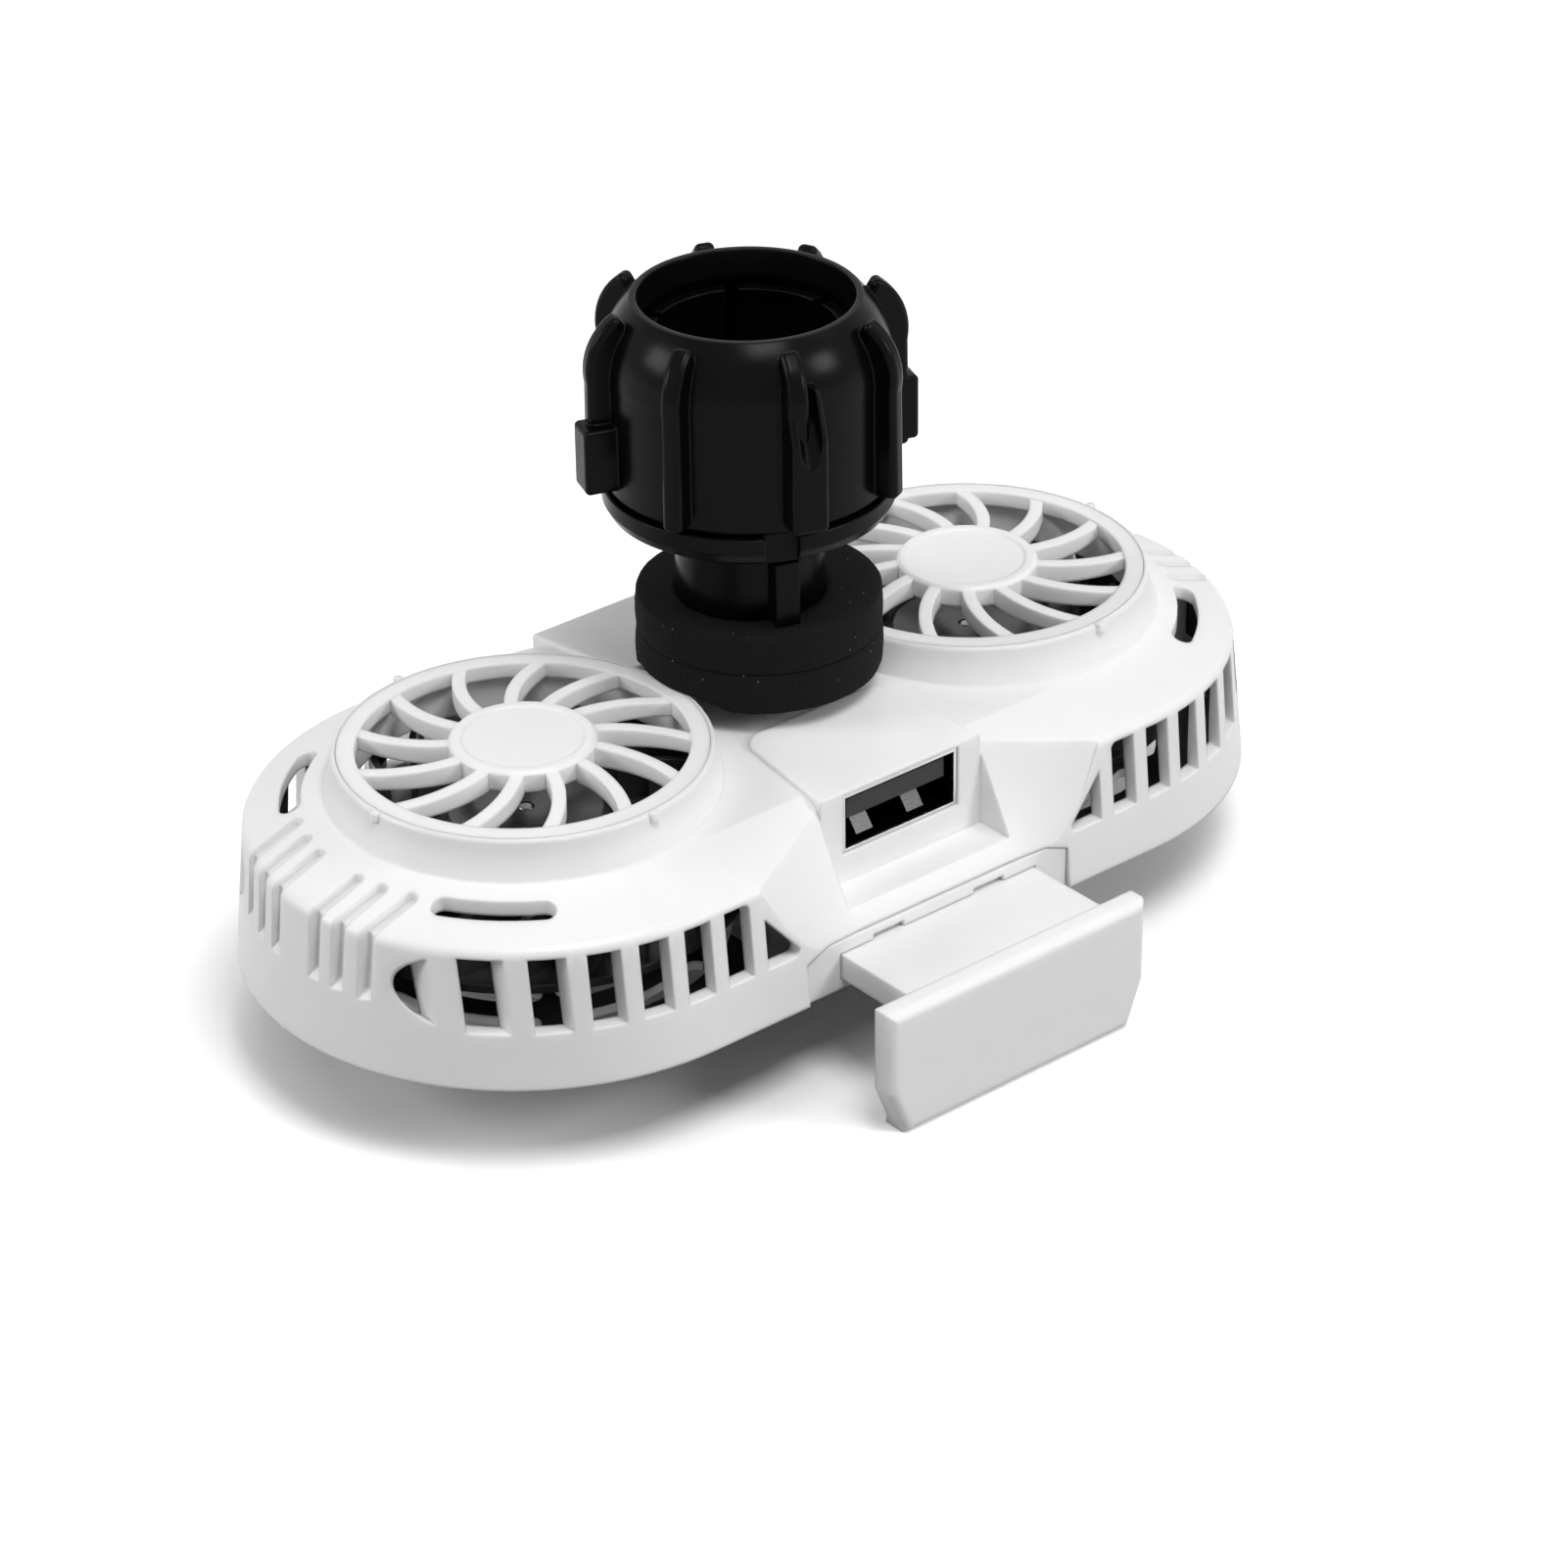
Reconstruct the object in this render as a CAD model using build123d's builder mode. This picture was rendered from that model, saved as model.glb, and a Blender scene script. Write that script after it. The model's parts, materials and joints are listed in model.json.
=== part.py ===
from build123d import *
from math import cos, radians, sin, sqrt
import os

os.makedirs("parts", exist_ok=True)

# A twin-fan cooler that clips on a phone. Millimetres, Z up. Z = 0 is the face that lies
# on the phone, X runs along the phone, and the USB port and the near jaw look along -Y.

# Driving sizes of the whole
lobe_r = 25.5
lobe_overlap = 0.1
wall = 1.4
seat_gap = 0.1
fine = 0.01
overrun = 30.0

# Upper cover: outline at four heights, from the foot to the crown. An inset is measured
# inwards from the radius of the housing's ends
foot_z = 0.3
rim_z = 13.0
rim_inset = 1.2
shelf_z = 15.45
shelf_inset = 7.8
crown_z = 15.95
crown_r = 8.0
rim_round = 1.1
roof = 1.3

# Collars round the fan openings
collar_top_z = 19.1
collar_top_inset = 9.05
collar_waist_z = 17.0
collar_waist_inset = 8.75
collar_foot_inset = 8.0
collar_sink = 0.5
collar_round = 0.4
eye_inset = 11.1
eye_under_inset = 10.4
pip_r = 0.45
pip_tall = 0.9
pip_count = 4
pip_turn = 4.0

# Snap-in grilles
grille_ring_inset = 9.5
grille_depth = 1.45
spoke_count = 13
spoke_w = 1.2
spoke_depth = 1.3
spoke_outer_z = 18.95
spoke_hub_z = 19.5
spoke_outer_angle = 73.8
spoke_sweep = 16.0
spoke_lean = 4.0
hub_r = 6.4
hub_top_z = 19.8
hub_depth = 1.9
hub_round = 0.3
hub_dish_r = 5.4
hub_dish_depth = 0.15

# Arc slots through the sloping top
arc_slot_inset = 5.35
arc_slot_w = 1.9
arc_slot_half_angle = 12.3
diagonal = 45.0

# Grooves over both ends
groove_ys = (2.75, 5.4, 8.2)
groove_w = 1.35
groove_depth = 0.8
groove_top_inset = 6.1
groove_foot_z = 6.8

# Louvre windows
window_low_z = 5.5
window_high_z = 12.3
window_end_inset = 3.3
window_point_x = 15.0
window_shoulder_x = 21.0
window_point_round = 0.5
bar_w = 1.5
bar_pitch_share = 0.1516
bar_first_x = 19.9
bar_count = 7
window_depth = 16.5

# Port bay: slanted facets, recess and raised block
facet_low_z = 5.0
facet_low_x = 15.0
facet_low_inset = 0.3
facet_rim_x = 19.3
facet_rim_inset = 1.4
facet_top_z = 17.0
facet_top_x = 21.6
facet_top_inset = 2.0
facet_root_inset = 0.7
facet_rise_share = 0.548
recess_half = 9.2
recess_floor_z = 6.85
block_front_half = 9.1
block_back_half = 7.9
block_front_inset = 5.5
block_length = 12.0
block_front_z = 15.75
block_back_z = 16.45
block_round = 0.5
block_corner = 2.0

# USB-A receptacle
port_z = 12.45
port_set_back = 0.15
shell_w = 13.0
shell_h = 5.6
shell_wall = 0.3
shell_depth = 10.5
tongue_side_gap = 0.65
tongue_t = 1.84
tongue_drop = 0.6
tongue_back = 2.0
tongue_set_back = 0.6
contact_w = 1.0
contact_t = 0.2
contact_x_shares = (-0.315, -0.09, 0.09, 0.315)
tab_x_share = 0.223
tab_w = 1.9
tab_t = 0.25
tab_nose = 1.35
tab_crest = 2.45
tab_end = 6.0
tab_rise = 1.4

# Small power inlet in the far recess
inlet_w = 8.9
inlet_h = 3.2
inlet_depth = 7.2
inlet_wall = 0.3
inlet_tongue_side_gap = 0.8
inlet_tongue_t = 0.7
inlet_set_back = 0.8

# Walls between the fan chambers and the middle bay
chamber_gap = 0.6
partition_t = 0.8
partition_x = 13.7

# Screw posts and case screws
post_r = 1.6
post_ring_inset = 3.6
post_angle = 12.0
post_foot_z = 2.6
pilot_r = 0.75
pilot_depth = 6.0
screw_r = 0.7
screw_head_r = 1.5
screw_head_t = 0.7
screw_length = 7.0
screw_slot_w = 0.4
screw_slot_depth = 0.3

# Base cover
plate_top_z = 1.2
vent_insets = (13.5, 9.0)
vent_w = 2.2
vent_count = 6
vent_half_angle = 22.0
lip_half = 15.0
lip_top_z = 5.0
lip_face_inset = 0.5
lip_t = 1.35
lip_corner_x = 2.4
lip_corner_z = 0.9

# Sliding jaws
jaw_half = 11.1
jaw_low_z = 1.3
jaw_high_z = 3.7
jaw_tail_y = 4.1
hook_inner_y = 33.5
hook_outer_y = 35.65
hook_half = 14.7
hook_top_z = 3.8
hook_low_z = -8.6
hook_draw_in = 1.8
hook_draw_z = 4.5
hook_round = 0.9
toe_z = -7.3
toe_reach = 0.7
jaw_slot_w = 3.2
jaw_slot_x = 6.0
jaw_slot_end_y = 13.5
jaw_gap = 0.12
slot_step = 0.5
slot_step_depth = 0.5
slot_step_inner = 4.0
slot_step_outer = 7.5

# Jaw guides and springs
rail_t = 1.2
rail_end_inset = 3.2
guide_t = 0.8
anchor_y = 1.4
anchor_r = 0.6
spring_r = 1.05
spring_wire = 0.35
guide_screw_inset = 2.8
guide_screw_r = 0.55
guide_screw_head_r = 1.0
guide_screw_head_t = 0.5
guide_screw_length = 2.6

# Phone pads
pad_long = 14.0
pad_wide = 4.0
pad_inset = 7.0
pad_t = 0.6
middle_pad_long = 20.0
middle_pad_wide = 10.0

# Circuit board
board_half = 6.9
board_t = 1.0
board_set_back = 1.7
board_head_length = 7.8
board_post_r = 1.0
board_post_x = 5.6
board_post_insets = (6.5, 1.5)

# Impellers
impeller_inset = 5.9
disc_low_z = 6.1
disc_t = 0.8
blade_count = 22
blade_in_inset = 11.9
blade_out_inset = 6.2
blade_w = 0.6
blade_top_z = 12.5
blade_sweep = 17.0
blade_lean = 38.0
hub_cup_r = 7.4
hub_cup_wall = 0.9
hub_cup_low_z = 5.2
hub_cup_top_z = 12.9
hub_cup_round = 0.7
hub_stem_r = 1.6
hub_stem_drop = 1.9

# Motors
shaft_r = 0.75
shaft_low_z = 2.5
run_gap = 0.03
bearing_r = 1.5
bearing_low_z = 3.0
bearing_high_z = 10.2
tube_r = 2.4
motor_flange_r = 8.0
motor_flange_t = 1.0
core_low_z = 5.6
core_high_z = 9.4
core_hub_r = 3.2
pole_r = 5.2
pole_tip_t = 0.7
pole_neck_w = 1.4
pole_count = 4
coil_t = 0.55
coil_out_r = 4.25
magnet_t = 0.75
magnet_low_z = 5.5
magnet_high_z = 10.4
motor_board_r = 6.8
motor_board_t = 0.8
motor_board_z = 3.2

# Foam pads under the socket
foam_x = 0.9
foam_y = 0.0
foam_r = 10.9
foam_seam_z = 22.1
foam_top_z = 25.5
foam_round = 0.3

# Ball socket
socket_plate_r = 9.4
socket_plate_t = 1.1
neck_r = 6.6
neck_top_z = 31.3
bowl_z = 32.4
bowl_r = 8.6
flange_low_z = 33.3
flange_low_r = 11.0
flange_mid_z = 34.1
flange_mid_r = 12.3
flange_side_z = 35.0
flange_r = 12.8
flange_top_z = 36.4
thread_r = 11.4
thread_top_z = 44.5
finger_top_z = 50.3
finger_top_r = 8.9
ball_r = 8.5
ball_z = 46.9
ball_gap = 0.05
finger_count = 6
finger_slit_w = 1.2
finger_slit_z = 41.5
fin_t = 2.2
fin_reach = 8.4
fin_top_z = 31.6
fin_angle = 253.3
flange_notch_w = 3.0
flange_notch_r = 11.6
flange_notch_angle = 243.5

# Clamp nut
nut_low_z = 36.9
nut_r = 12.5
nut_shoulder_z = 46.8
nut_mouth_z = 53.4
nut_mouth_r = 9.4
nut_rim_r = 9.95
nut_dome_z = 51.2
nut_dome_r = 11.6
nut_throat_z = 51.1
nut_throat_r = 8.95
nut_cone_z = 45.4
nut_thread_gap = 0.05
rib_count = 8
rib_w = 1.8
rib_foot_r = 14.5
rib_mid_r = 14.4
rib_mid_z = 47.2
rib_tip_r = 11.6
rib_tip_z = 53.4
rib_low_z = 37.2
rib_bend_r = 13.75
rib_bend_z = 51.2
rib_round = 0.55
rib_angle = 23.4
lug_w = 3.2
lug_r = 15.3
lug_low_z = 37.7
lug_top_z = 46.2
lug_slope_z = 50.2
lug_slope_r = 13.6
lug_groove_w = 2.0
lug_round = 0.45
lug_turn = 2.5
short_lug_top_z = 43.7

# Levels and planes worked out from the driving sizes
fan_x = lobe_r - lobe_overlap
rim_r = lobe_r - rim_inset
shelf_r = lobe_r - shelf_inset
inner_foot_r = lobe_r - wall
eye_r = lobe_r - eye_inset
grille_ring_r = lobe_r - grille_ring_inset
collar_top_r = lobe_r - collar_top_inset
impeller_r = lobe_r - impeller_inset
chamber_r = impeller_r + chamber_gap
post_ring_r = lobe_r - post_ring_inset
groove_top_r = lobe_r - groove_top_inset
window_end_x = fan_x + lobe_r - window_end_inset
bar_pitch = (window_end_x - bar_first_x) * bar_pitch_share
block_front_y = lobe_r - block_front_inset
block_back_y = block_front_y - block_length
lip_face_y = lobe_r - lip_face_inset
rail_end_y = lobe_r - rail_end_inset
guide_screw_y = rail_end_y - guide_screw_inset
pad_y = lobe_r - pad_inset
board_front_y = block_front_y - board_set_back
board_back_y = board_front_y - board_head_length
guide_low_z = jaw_high_z + jaw_gap
guide_top_z = guide_low_z + guide_t
board_top_z = port_z - shell_h / 2
board_low_z = board_top_z - board_t
shell_front_y = block_front_y - port_set_back
tongue_w = shell_w - 2 * (shell_wall + tongue_side_gap)
inlet_front_y = block_front_y - wall
inlet_z = board_top_z + inlet_h / 2
inlet_tongue_w = inlet_w - 2 * (inlet_wall + inlet_tongue_side_gap)
grille_low_z = collar_top_z - grille_depth
rise_share = (rim_r - lobe_r) / (rim_z - foot_z)
slope_share = (shelf_r - rim_r) / (shelf_z - rim_z)
left_axis = Axis((-fan_x, 0, 0), (0, 0, 1))
left_upright = Plane(origin=(-fan_x, 0, 0), x_dir=(1, 0, 0), z_dir=(0, -1, 0))


# A level plane whose origin lies on the left fan's axis
def left_level(level):
    return Plane(origin=(-fan_x, 0, level))


# A level plane whose origin lies on the foam pads' own middle
def foam_level(level):
    return Plane(origin=(foam_x, foam_y, level))


# An upright plane through the socket's axis, with its X pointing out at one angle
def radial_plane(angle):
    out = (cos(radians(angle)), sin(radians(angle)), 0)
    side = (sin(radians(angle)), -cos(radians(angle)), 0)
    return Plane(origin=(0, 0, 0), x_dir=out, z_dir=side)


# The housing's plan outline at one level
def stadium(level, radius):
    with BuildSketch(Plane.XY.offset(level)) as outline:
        SlotCenterToCenter(2 * fan_x, 2 * radius)
    return outline.sketch


# The plan of what the facets take away in front of the port, at one level and on one side
def facet_plan(level, end_x, end_inset, grow, side):
    end_y = lobe_r - end_inset
    root_y = lobe_r - facet_root_inset - (level - facet_low_z) * facet_rise_share - grow
    root_x = recess_half + grow
    far_x = end_x + grow
    far_y = overrun + lobe_r
    with BuildSketch(Plane.XY.offset(level)) as plan:
        Polygon(
            (-far_x, side * end_y),
            (-root_x, side * root_y),
            (root_x, side * root_y),
            (far_x, side * end_y),
            (far_x, side * far_y),
            (-far_x, side * far_y),
            align=None,
        )
    return plan.sketch


# Three facet plans, from the lip up past the roof
def facet_plans(grow, side):
    return [
        facet_plan(facet_low_z, facet_low_x, facet_low_inset, grow, side),
        facet_plan(rim_z, facet_rim_x, facet_rim_inset, grow, side),
        facet_plan(facet_top_z, facet_top_x, facet_top_inset, grow, side),
    ]


# One point of a curved arm in polar form
def polar(radius, angle):
    return (radius * cos(radians(angle)), radius * sin(radians(angle)))


# A thin curved arm from one radius to another, as seen from above
def arm(in_r, in_angle, out_r, out_angle, lean, width):
    with BuildSketch() as outline:
        with BuildLine():
            TangentArc(
                polar(in_r, in_angle),
                polar(out_r, out_angle),
                tangent=polar(1, in_angle + lean),
            )
        trace(line_width=width)
    return outline.sketch


# What one end groove takes away, at its own distance from the middle line
def end_groove(y):
    def reach(radius):
        return fan_x + sqrt(radius**2 - y**2)

    foot_r = lobe_r + (groove_foot_z - foot_z) * rise_share
    top_z = rim_z + (groove_top_r - rim_r) / slope_share
    tall = top_z + groove_depth * 2
    with BuildPart() as groove:
        with BuildSketch(Plane.XZ.offset(-y - groove_w / 2)):
            with BuildLine():
                Polyline(
                    (reach(foot_r) - groove_depth, groove_foot_z + groove_depth),
                    (reach(rim_r) - groove_depth, rim_z - groove_depth / 2),
                    (reach(groove_top_r), top_z - groove_depth),
                    (reach(groove_top_r), tall),
                    (reach(lobe_r) + groove_depth, tall),
                    (reach(lobe_r) + groove_depth, groove_foot_z),
                    (reach(foot_r), groove_foot_z),
                    close=True,
                )
            make_face()
        extrude(amount=groove_w)
        with BuildSketch(Plane.XY):
            with Locations((reach(groove_top_r) + overrun / 2, y)):
                SlotOverall(overrun, groove_w)
        extrude(amount=overrun, mode=Mode.INTERSECT)
    return groove.part


# Upper cover: the space inside it, which leaves its partitions and screw posts standing
post_spots = [
    (side * (fan_x + post_ring_r * cos(radians(post_angle))), end * post_ring_r * sin(radians(post_angle)))
    for side in (-1, 1)
    for end in (-1, 1)
]
with BuildPart() as cover_space:
    space_outlines = [
        stadium(foot_z - wall, inner_foot_r),
        stadium(plate_top_z + seat_gap, inner_foot_r),
        stadium(rim_z - roof / 2, rim_r - wall),
        stadium(shelf_z - roof, shelf_r - roof / 2),
        stadium(crown_z - roof, crown_r),
    ]
    loft(space_outlines, ruled=True)
    for side in (-1, 1):
        loft(facet_plans(wall, side), ruled=True, mode=Mode.SUBTRACT)
    bay_wall_y = block_front_y - wall
    with BuildSketch(Plane.XY.offset(recess_floor_z - wall)) as bay_walls:
        for side in (-1, 1):
            with Locations((0, side * (bay_wall_y + overrun / 2))):
                Rectangle(2 * (recess_half + wall), overrun)
    extrude(amount=overrun, mode=Mode.SUBTRACT)
    with BuildSketch(Plane.XY.offset(lip_top_z + seat_gap)) as partitions:
        for side in (-1, 1):
            with BuildSketch(mode=Mode.PRIVATE) as ring:
                with Locations((side * fan_x, 0)):
                    Circle(chamber_r + partition_t)
                    Circle(chamber_r, mode=Mode.SUBTRACT)
                Rectangle(2 * partition_x, 4 * lobe_r, mode=Mode.INTERSECT)
            add(ring.sketch)
            turn_y = sqrt(chamber_r**2 - (fan_x - partition_x) ** 2)
            for end in (-1, 1):
                with Locations((side * partition_x, end * (turn_y + lobe_r) / 2)):
                    Rectangle(partition_t, lobe_r - turn_y)
    extrude(amount=overrun, mode=Mode.SUBTRACT)
    with BuildSketch(Plane.XY.offset(post_foot_z)) as posts:
        with Locations(*post_spots):
            Circle(post_r)
    extrude(amount=overrun, mode=Mode.SUBTRACT)
    with BuildSketch(Plane.XZ.offset(shell_front_y)) as shell_room:
        with Locations((0, port_z)):
            Rectangle(shell_w + 2 * seat_gap, shell_h + seat_gap)
    extrude(amount=-(shell_depth + seat_gap))

# Upper cover: the raised block over the port
with BuildPart() as block:
    with BuildSketch(Plane.YZ.offset(-block_front_half)) as block_side:
        with BuildLine():
            Polyline(
                (-block_front_y, port_z),
                (-block_front_y, block_front_z),
                (-block_back_y, block_back_z),
                (-block_back_y, port_z),
                close=True,
            )
        make_face()
    extrude(amount=2 * block_front_half)
    with BuildSketch(Plane.XY) as block_plan:
        Polygon(
            (-block_front_half, -block_front_y),
            (block_front_half, -block_front_y),
            (block_back_half, -block_back_y),
            (-block_back_half, -block_back_y),
            align=None,
        )
    extrude(amount=overrun, mode=Mode.INTERSECT)
    fillet(block.edges().filter_by(Axis.Z).group_by(Axis.Y)[-1], radius=block_corner)
    fillet(block.edges().group_by(Axis.Z)[-1], radius=block_round / 2)

# Upper cover: the moulding itself
with BuildPart() as upper_cover:
    cover_outlines = [
        stadium(foot_z, lobe_r),
        stadium(rim_z, rim_r),
        stadium(shelf_z, shelf_r),
        stadium(crown_z, crown_r),
    ]
    loft(cover_outlines, ruled=True)
    rim_edges = upper_cover.edges().filter_by_position(Axis.Z, rim_z - fine, rim_z + fine)
    fillet(rim_edges, radius=rim_round)
    for side in (-1, 1):
        loft(facet_plans(0, side), ruled=True, mode=Mode.SUBTRACT)
    add(block.part)
    mirror(block.part, about=Plane.XZ)
    with BuildSketch(Plane.XY.offset(recess_floor_z)) as recess:
        for side in (-1, 1):
            with Locations((0, side * (block_front_y + overrun / 2))):
                Rectangle(2 * recess_half, overrun)
    extrude(amount=overrun, mode=Mode.SUBTRACT)
    for side in (-1, 1):
        with BuildSketch(Plane(origin=(side * fan_x, 0, 0), x_dir=(1, 0, 0), z_dir=(0, -1, 0))) as collar:
            with BuildLine():
                foot_line = Polyline(
                    (0, shelf_z - collar_sink),
                    (lobe_r - collar_foot_inset, shelf_z - collar_sink),
                )
                waist = (lobe_r - collar_waist_inset, collar_waist_z)
                collar_side = ThreePointArc(foot_line @ 1, waist, (collar_top_r, collar_top_z))
                Polyline(collar_side @ 1, (0, collar_top_z), (0, shelf_z - collar_sink))
            make_face()
            fillet(collar.vertices().sort_by(Axis.Y)[-2:].sort_by(Axis.X)[-1], radius=collar_round)
        revolve(axis=Axis((side * fan_x, 0, 0), (0, 0, 1)))
    with BuildSketch(Plane.XY.offset(collar_top_z - pip_tall)) as pips:
        for side in (-1, 1):
            with Locations((side * fan_x, 0)):
                with PolarLocations(collar_top_r, pip_count, start_angle=pip_turn):
                    Circle(pip_r)
    extrude(amount=pip_tall - fine)
    add(cover_space.part, mode=Mode.SUBTRACT)
    with BuildSketch(Plane.XY.offset(rim_z - roof)) as eyes:
        with GridLocations(2 * fan_x, 0, 2, 1):
            Circle(lobe_r - eye_under_inset)
    extrude(amount=overrun, mode=Mode.SUBTRACT)
    with BuildSketch(Plane.XY.offset(grille_low_z)) as grille_seats:
        with GridLocations(2 * fan_x, 0, 2, 1):
            Circle(grille_ring_r + seat_gap / 2)
    extrude(amount=overrun, mode=Mode.SUBTRACT)
    with BuildSketch(Plane.XY.offset(rim_z - roof)) as arc_slots:
        for side in (-1, 1):
            for end in (-1, 1):
                middle = 90 - side * (90 - end * diagonal)
                with BuildLine(mode=Mode.PRIVATE) as slot_line:
                    CenterArc(
                        (side * fan_x, 0),
                        lobe_r - arc_slot_inset,
                        middle - arc_slot_half_angle,
                        2 * arc_slot_half_angle,
                    )
                SlotArc(slot_line.edge(), arc_slot_w)
    extrude(amount=overrun, mode=Mode.SUBTRACT)
    for end in (-1, 1):
        for y in groove_ys:
            groove_cut = end_groove(end * y)
            add(groove_cut, mode=Mode.SUBTRACT)
            mirror(groove_cut, about=Plane.YZ, mode=Mode.SUBTRACT)
    for side in (-1, 1):
        with BuildSketch(Plane.XZ.offset(lobe_r - window_depth)) as windows:
            middle_z = (window_low_z + window_high_z) / 2
            with BuildLine():
                Polyline(
                    (side * window_point_x, window_low_z),
                    (side * window_shoulder_x, window_high_z),
                    (side * window_end_x, window_high_z),
                    (side * window_end_x, window_low_z),
                    close=True,
                )
            make_face()
            window_corners = windows.vertices().sort_by_distance((0, middle_z, 0))
            fillet(window_corners[:2], radius=window_point_round)
            end_corners = windows.vertices().sort_by_distance((side * window_end_x, middle_z, 0))
            fillet(end_corners[:2], radius=(window_high_z - window_low_z) / 2 - fine)
            with Locations((side * (bar_first_x + (bar_count - 1) * bar_pitch / 2), middle_z)):
                with GridLocations(bar_pitch, 0, bar_count, 1):
                    Rectangle(bar_w, window_high_z, mode=Mode.SUBTRACT)
        near_cut = extrude(amount=overrun, mode=Mode.PRIVATE)
        add(near_cut, mode=Mode.SUBTRACT)
        mirror(near_cut, about=Plane.XZ, mode=Mode.SUBTRACT)
    with BuildSketch(Plane.XZ.offset(shell_front_y - seat_gap)) as port_mouth:
        with Locations((0, port_z)):
            Rectangle(shell_w + 2 * seat_gap, shell_h + 2 * seat_gap)
    extrude(amount=overrun, mode=Mode.SUBTRACT)
    with BuildSketch(Plane.XZ.offset(seat_gap - inlet_front_y)) as inlet_mouth:
        with Locations((0, inlet_z)):
            RectangleRounded(inlet_w + seat_gap, inlet_h + seat_gap, inlet_h / 2)
    extrude(amount=-overrun, mode=Mode.SUBTRACT)
    for side in (-1, 1):
        with BuildSketch(Plane.XZ.offset(side * (inner_foot_r - wall))) as lip_notch:
            with BuildLine():
                Polyline(
                    (-lip_half, foot_z - seat_gap),
                    (-lip_half, lip_top_z + seat_gap - lip_corner_z),
                    (-lip_half + lip_corner_x, lip_top_z + seat_gap),
                    (lip_half - lip_corner_x, lip_top_z + seat_gap),
                    (lip_half, lip_top_z + seat_gap - lip_corner_z),
                    (lip_half, foot_z - seat_gap),
                    close=True,
                )
            make_face()
        extrude(amount=side * overrun, mode=Mode.SUBTRACT)
    with BuildSketch(Plane.XY.offset(post_foot_z)) as pilots:
        with Locations(*post_spots):
            Circle(pilot_r)
    extrude(amount=pilot_depth, mode=Mode.SUBTRACT)
upper_cover.part.label = "upper_cover"
export_step(upper_cover.part, "parts/upper_cover.step")


# Base cover: the plate that closes the housing, with a lip under each recess
with BuildPart() as base_cover:
    extrude(stadium(foot_z, inner_foot_r - seat_gap), amount=plate_top_z - foot_z)
    for side in (-1, 1):
        with BuildSketch(Plane.XZ.offset(side * lip_face_y)) as lip:
            half = lip_half - seat_gap
            with BuildLine():
                Polyline(
                    (-half, foot_z),
                    (-half, lip_top_z - lip_corner_z),
                    (-half + lip_corner_x, lip_top_z),
                    (half - lip_corner_x, lip_top_z),
                    (half, lip_top_z - lip_corner_z),
                    (half, foot_z),
                    close=True,
                )
            make_face()
        extrude(amount=-side * lip_t)
        with BuildSketch(Plane.XZ.offset(side * (lip_face_y + seat_gap))) as jaw_mouth:
            with Locations((0, (jaw_low_z + jaw_high_z) / 2)):
                Rectangle(2 * (jaw_half + jaw_gap), jaw_high_z - jaw_low_z + 2 * jaw_gap)
        extrude(amount=-side * (lip_t + 2 * seat_gap), mode=Mode.SUBTRACT)
        with BuildSketch(Plane.XZ.offset(side * (lip_face_y + seat_gap))) as mouth_steps:
            with Locations((0, jaw_high_z + jaw_gap)):
                with GridLocations(slot_step_inner + slot_step_outer, 0, 2, 1):
                    Rectangle(slot_step_outer - slot_step_inner, 2 * slot_step)
        extrude(amount=-side * (slot_step_depth + seat_gap), mode=Mode.SUBTRACT)
    with BuildSketch(Plane.XY.offset(plate_top_z)) as rails:
        with GridLocations(2 * (jaw_half + jaw_gap) + rail_t, 0, 2, 1):
            Rectangle(rail_t, 2 * rail_end_y)
    extrude(amount=guide_low_z - plate_top_z)
    with BuildSketch(Plane.XY.offset(plate_top_z)) as anchors:
        with GridLocations(2 * jaw_slot_x, 2 * anchor_y, 2, 2):
            Circle(anchor_r)
    extrude(amount=guide_low_z - plate_top_z)
    with BuildSketch(Plane.XY.offset(foot_z)) as vents:
        for side in (-1, 1):
            for ring_inset in vent_insets:
                for number in range(vent_count):
                    middle = (number + 1 / 2) * 360 / vent_count
                    with BuildLine(mode=Mode.PRIVATE) as vent_line:
                        CenterArc(
                            (side * fan_x, 0),
                            lobe_r - ring_inset,
                            middle - vent_half_angle,
                            2 * vent_half_angle,
                        )
                    SlotArc(vent_line.edge(), vent_w)
        Rectangle(2 * (jaw_half + jaw_gap + rail_t), 2 * lobe_r, mode=Mode.SUBTRACT)
    extrude(amount=plate_top_z - foot_z, mode=Mode.SUBTRACT)
    with BuildSketch(Plane.XY.offset(foot_z)) as pad_seats:
        with GridLocations(2 * fan_x, 2 * pad_y, 2, 2):
            Rectangle(pad_long + seat_gap, pad_wide + seat_gap)
        Rectangle(middle_pad_long + seat_gap, middle_pad_wide + seat_gap)
    extrude(amount=pad_t - foot_z, mode=Mode.SUBTRACT)
    with BuildSketch(Plane.XY.offset(plate_top_z)) as post_seats:
        with Locations(*post_spots):
            Circle(post_r)
    extrude(amount=post_foot_z - plate_top_z)
    with BuildSketch(Plane.XY.offset(foot_z)) as screw_holes:
        with Locations(*post_spots):
            Circle(screw_r + seat_gap)
    extrude(amount=post_foot_z - foot_z, mode=Mode.SUBTRACT)
    with BuildSketch(Plane.XY.offset(foot_z)) as head_seats:
        with Locations(*post_spots):
            Circle(screw_head_r + seat_gap)
    extrude(amount=screw_head_t + seat_gap, mode=Mode.SUBTRACT)
    with BuildSketch(Plane.XY.offset(guide_low_z)) as guide_pilots:
        with GridLocations(2 * (jaw_half + jaw_gap) + rail_t, 2 * guide_screw_y, 2, 2):
            Circle(guide_screw_r)
    extrude(amount=plate_top_z - guide_low_z, mode=Mode.SUBTRACT)
base_cover.part.label = "base_cover"
export_step(base_cover.part, "parts/base_cover.step")

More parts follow.
